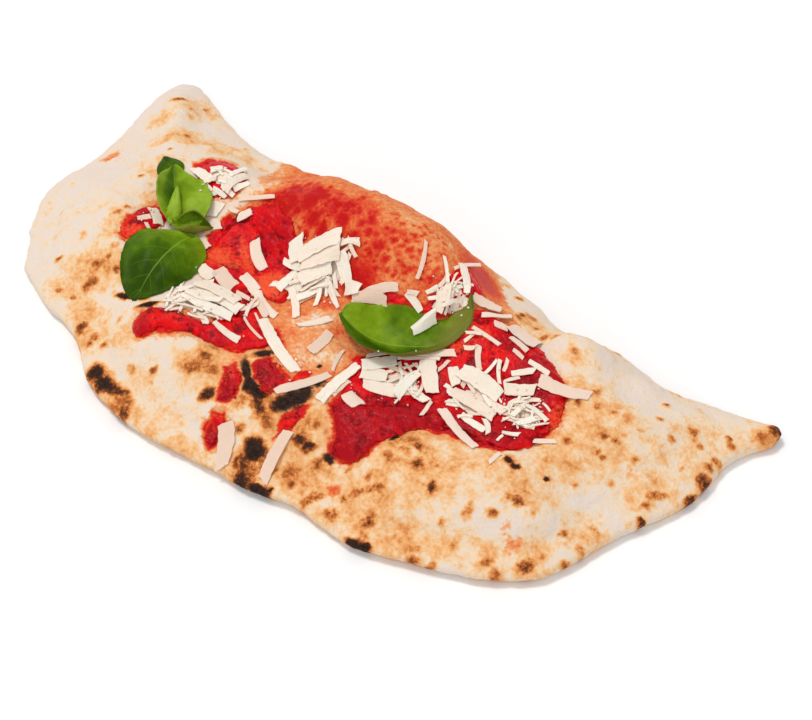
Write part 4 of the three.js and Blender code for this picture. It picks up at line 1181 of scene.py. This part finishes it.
leaves = {  # how each differs from a plain leaf
    "basil_tip": {
        "x": -117, "y": 22, "heading": 150, "length": 15, "width": 13, "broad": 0.8, "blunt": 0.8,
        "arch": 0.5, "cup": 0.6, "puff": 0.8, "drape": 0.7, "greenAndPaintedLight": 0.1, "paintedStalkLight": 0.2,
    },
    "basil_large": {
        "x": -82, "y": -23, "heading": -88, "length": 43, "width": 38, "broad": 0.75, "blunt": 0.55,
        "lean": -0.14, "arch": 0.8, "cup": 0.6, "bow": -1.5, "puff": 2.2, "tuck": 2, "roll": -6,
        "pitch": 6, "drape": 0.8, "greenAndPaintedLight": -0.05, "paintedStalkLight": 0.95,
    },
    "basil_upper": {
        "x": -101, "y": 10, "heading": 137, "length": 38, "width": 28, "broad": 0.8, "blunt": 0.55,
        "lean": -0.1, "arch": 0.5, "cup": -1.3, "curl": 2.6, "bow": 1.5, "puff": 1.5, "roll": 6,
        "drape": 0.6, "greenAndPaintedLight": 0.78, "paintedStalkLight": 0.1, "paintedFoldShade": 0.65,
    },
    "basil_inner": {
        "x": -98, "y": 3, "heading": 122, "length": 20, "width": 10, "broad": 0.65, "blunt": 1,
        "arch": 0.3, "cup": 1.7, "pitch": -8, "drape": 0.5, "greenAndPaintedLight": 0.9,
    },
    "basil_curl": {
        "x": -86.4, "y": 1.5, "heading": 30, "length": 17, "width": 24, "broad": 0.9, "blunt": 0.5,
        "arch": -0.8, "cup": -2.2, "curl": -0.6, "puff": 1, "roll": 12, "drape": 0.5, "greenAndPaintedLight": 0.35,
        "paintedStalkLight": 0.4,
    },
    "basil_right": {
        "x": 23.6, "y": 10.9, "heading": 32, "length": 64, "width": 33, "broad": 0.78, "blunt": 0.6,
        "arch": -1.3, "cup": -0.5, "curl": -1.8, "bow": -8.5, "puff": 0.8, "tuck": -5, "roll": -6,
        "drape": 0.3, "greenAndPaintedLight": 0.4, "paintedStalkLight": 0.35, "hook": 1.3, "pinch": 0.4, "nearShade": 0.5,
        "turnsOver": 0.56,
    },
}


def alongLeaf(x):  # a grid place as a share of the length, with closer rows towards the ends
    return (1 - math.cos(math.pi * (x + 1) / 2)) / 2


def leafSpot(leaf, s, t):
    length, width = leaf["length"] * mm, leaf["width"] * mm
    half = width / 2 * max(0.02, math.sin(math.pi * s ** leaf["broad"]) ** leaf["blunt"])
    half *= 1 + (leaf["lean"] if t > 0 else -leaf["lean"]) - basil["toothDepth"] * (basil["teeth"] * s % 1)
    half *= 1 - leaf["pinch"] * clamped((s - basil["pinchFrom"]) / basil["pinchOver"])
    cup = leaf["cup"] + (leaf["curl"] * s if t < 0 else 0)
    bend, fold = leaf["arch"] * (s - 0.5), cup * t
    side = half * math.sin(fold) / cup + leaf["bow"] * mm * (1 - (2 * s - 1) ** 2)
    sag = half * (1 - math.cos(fold)) / cup
    puff = leaf["puff"] * mm * math.sin(math.pi * min(1, abs(t)) ** 0.7) * math.sin(math.pi * s)
    ripple = basil["ripple"] * width * math.sin(9 * s + 2 * t) * t * t
    rib = -basil["rib"] * (1 - min(1, 3 * abs(t)))
    vein = abs(math.sin(math.pi * (basil["veins"] * s - basil["veinSlant"] * abs(t))))
    quilt = basil["quilt"] * vein * (1 - abs(t)) * min(1, 5 * abs(t))
    tuck = leaf["tuck"] * mm * max(0, (s - basil["tuckFrom"]) / (1 - basil["tuckFrom"])) ** 2
    radius = length / leaf["arch"]
    reach = radius + rib + ripple + quilt + puff - sag - tuck
    ahead, height = reach * math.sin(bend), reach * math.cos(bend) - radius
    past = ahead - basil["hookFrom"] * length
    if leaf["hook"] and past > 0:
        turn = (0.5 - basil["hookFrom"]) * length / leaf["hook"]
        angle = past / turn
        ahead += (turn - side) * math.sin(angle) - past
        side = turn - (turn - side) * math.cos(angle)
    return Vector((ahead, side, height))


def restLeaf(bm):  # let down on what lies there, and draped over it
    drops = sorted(seatAt(v.co.x, v.co.y) + basil["gap"] - v.co.z for v in bm.verts)
    touch = drops[int(basil["settle"] * (len(drops) - 1))]
    for vert in bm.verts:
        vert.co.z += touch
    for _ in range(basil["smooth"]):
        for vert in bm.verts:
            vert.co.z = max(vert.co.z, seatAt(vert.co.x, vert.co.y, 0) + basil["gap"])
        bmesh.ops.smooth_vert(bm, verts=bm.verts, factor=0.5, use_axis_z=True)
    for _ in range(basil["iron"]):
        bmesh.ops.smooth_vert(bm, verts=bm.verts, factor=0.5, use_axis_z=True)
    for vert in bm.verts:
        raiseGround(vert.co.x, vert.co.y, vert.co.z + basil["thickness"])


def makeLeaf(node):
    leaf = {**plainLeaf, **leaves[node]}
    bm = bmesh.new()
    uv = bm.loops.layers.uv.new("leaf")
    bmesh.ops.create_grid(bm, x_segments=basil["along"], y_segments=basil["across"], size=1)
    for face in bm.faces:
        for loop in face.loops:
            loop[uv].uv = (alongLeaf(loop.vert.co.x), (loop.vert.co.y + 1) / 2)
    turned = Matrix.Identity(3)
    for name, axis in (("heading", "Z"), ("pitch", "Y"), ("roll", "X")):
        turned = turned @ Matrix.Rotation(math.radians(leaf[name]), 3, axis)
    base = topOf(doughTree, leaf["x"] * mm, leaf["y"] * mm)
    stripe, breadth = basil["paintedFoldShade"]
    greenAndPaintedLight, over = [], []
    for vert in bm.verts:
        s, t = alongLeaf(vert.co.x), vert.co.y
        # painted shade: a dark stripe along the fold beside the midrib
        shade = leaf["paintedFoldShade"] * math.exp(-((t - stripe) / breadth) ** 2)
        # painted shade: the near half of the leaf (t < 0) is darker
        shade += leaf["nearShade"] * clamped(-3 * t)
        # painted light: the leaf's tone is raised towards the stalk end (s = 0), as if lit there
        greenAndPaintedLight.append(leaf["greenAndPaintedLight"] + leaf["paintedStalkLight"] * (1 - s) ** 2 - shade)
        over.append(clamped((s - leaf["turnsOver"] - basil["turnOver"] * t) / basil["turnOver"]))
        vert.co = turned @ leafSpot(leaf, s, t) + Vector((leaf["x"] * mm, leaf["y"] * mm, 0))
        vert.co.z += leaf["drape"] * (topOf(doughTree, vert.co.x, vert.co.y) - base)
    restLeaf(bm)
    piece = addMesh("leaf_" + node, bm)
    modify(piece, "SOLIDIFY", thickness=basil["thickness"], offset=1)
    storeValue(piece.data, "greenAndPaintedLight", greenAndPaintedLight * 2)
    storeValue(piece.data, "underside", over + [1] * len(greenAndPaintedLight))
    return piece


def basilMaterial():
    material, tree = newMaterial("basil_leaf")
    at = objectPlaces(tree)
    split = tree.nodes.new("ShaderNodeSeparateXYZ")
    tree.links.new(uvPlaces(tree, "leaf"), split.inputs[0])
    s = split.outputs[0]
    fromRib = compute(tree, "ABSOLUTE", compute(tree, "MULTIPLY_ADD", split.outputs[1], 2, -1))
    ribWidth = compute(tree, "MULTIPLY_ADD", s, -0.03, 0.045)
    rib = step(tree, fromRib, ribWidth, 0.004)
    branch = compute(tree, "MULTIPLY", s, basil["veins"])
    branch = compute(tree, "MULTIPLY_ADD", fromRib, -basil["veinSlant"], branch)
    branch = compute(tree, "ABSOLUTE", compute(tree, "SUBTRACT", compute(tree, "FRACT", branch), 0.5))
    branch = compute(tree, "MULTIPLY", step(tree, branch, 0.45, 0.5), step(tree, fromRib, 0.9, 0.2))
    veins = compute(tree, "MAXIMUM", rib, compute(tree, "MULTIPLY", branch, basil["branchShare"]))
    # the leaf's green tone, with the painted light and painted shade laid into it when the leaf was built
    toneAndPaintedLight = shaken(tree, attributeOf(tree, "greenAndPaintedLight"), (noiseOf(tree, at, 10 * mm, 3), 0.5))
    color = rampOf(tree, toneAndPaintedLight, basil["colors"])
    pale = compute(tree, "MULTIPLY", veins, basil["veinShare"])
    color = blendColors(tree, pale, color, basil["veinColor"])
    under = compute(tree, "MULTIPLY", attributeOf(tree, "underside"), basil["underShare"])
    color = blendColors(tree, under, color, basil["underColor"])
    normal = bumpOf(tree, noiseOf(tree, at, 0.9 * mm, 2), 0.12 * mm)
    return dress(material, {"Base Color": color, "Normal": normal, **basil["surface"]})


freshBasil = basilMaterial()
for leafNode in leaves:
    finishPiece(makeLeaf(leafNode), freshBasil, "basil", leafNode)
finishCheese(makeHeap(lastHeap), lastHeap)
finishCheese(makeShavings("cheese_on_leaf", [lastShaving]), lastShaving)
print("basil made")


# crumbs: specks of grated cheese round the heaps

crumbs = {
    "places": [  # (u, v) in the camera's frame, reach in mm and how many
        (214, 190, 7, 16), (150, 217, 5, 8), (200, 305, 15, 24), (320, 285, 16, 20), (400, 385, 16, 24),
        (520, 410, 14, 44), (480, 405, 12, 16), (446, 295, 10, 20), (300, 375, 8, 8), (245, 305, 6, 8),
        (350, 390, 6, 8),
    ],
    "size": (0.25 * mm, 0.7 * mm), "seed": 5, "sunk": 0.25,
    "flatter": ((0.5, 1), (0.4, 0.8)),  # breadth and height as shares of the length
}


def makeCrumbs():
    roll = random.Random(crumbs["seed"])
    bm = newShreds()
    tone = bm.verts.layers.float["tone"]
    for u, v, reach, count in crumbs["places"]:
        middle = spotOn(foodTree, u, v)
        for _ in range(count):
            x, y = middle.x + roll.gauss(0, reach / 2) * mm, middle.y + roll.gauss(0, reach / 2) * mm
            size = roll.uniform(*crumbs["size"])
            place = Matrix.Translation((x, y, seatAt(x, y, 0) + size * (1 - crumbs["sunk"])))
            turn = Matrix.Rotation(roll.uniform(0, 3), 4, "X") @ Matrix.Rotation(roll.uniform(0, 3), 4, "Z")
            flatter = [size * roll.uniform(*shares) for shares in crumbs["flatter"]]
            shape = Matrix.Diagonal((size, *flatter, 1))
            made = bmesh.ops.create_icosphere(bm, subdivisions=1, radius=1, matrix=place @ turn @ shape)
            shade = roll.random()
            for vert in made["verts"]:
                vert[tone] = shade
    return addMesh("cheese_crumbs", bm)


finishCheese(makeCrumbs())
print("crumbs made")


# stage: a pale floor and soft light

stage = {
    "floorSize": 4000 * mm, "floorDrop": 0.1 * mm, "sky": 0.62,
    "floorLooks": {"Base Color": tint(244, 244, 244), "Roughness": 0.9},
    "key": {"from": (-1, 0, 2.4), "spread": 14, "strength": 1.38},  # spread in degrees
    "fill": {"from": (0.9, -1.4, 1.5), "spread": 60, "strength": 0.6},
}


def makeFloor():
    bm = bmesh.new()
    bmesh.ops.create_grid(bm, x_segments=1, y_segments=1, size=stage["floorSize"] / 2)
    bmesh.ops.translate(bm, verts=bm.verts, vec=(0, 0, -stage["floorDrop"]))
    floor = addMesh("floor", bm)
    floor.data.materials.append(dress(newMaterial("pale_floor")[0], stage["floorLooks"]))


def makeLight(name):
    light = stage[name]
    data = bpy.data.lights.new(name, "SUN")
    data.angle = math.radians(light["spread"])
    data.energy = light["strength"]
    made = addObject(name, data)
    made.location = light["from"]
    made.rotation_euler = (-Vector(light["from"])).to_track_quat("-Z", "Y").to_euler()


def makeSky():
    world = bpy.data.worlds.new("sky")
    world.use_nodes = True
    sky = world.node_tree.nodes["Background"].inputs
    sky["Color"].default_value = (1, 1, 1, 1)
    sky["Strength"].default_value = stage["sky"]
    bpy.context.scene.world = world


makeFloor()
makeLight("key")
makeLight("fill")
makeSky()
bpy.context.scene.view_settings.view_transform = "Standard"
print("stage made")
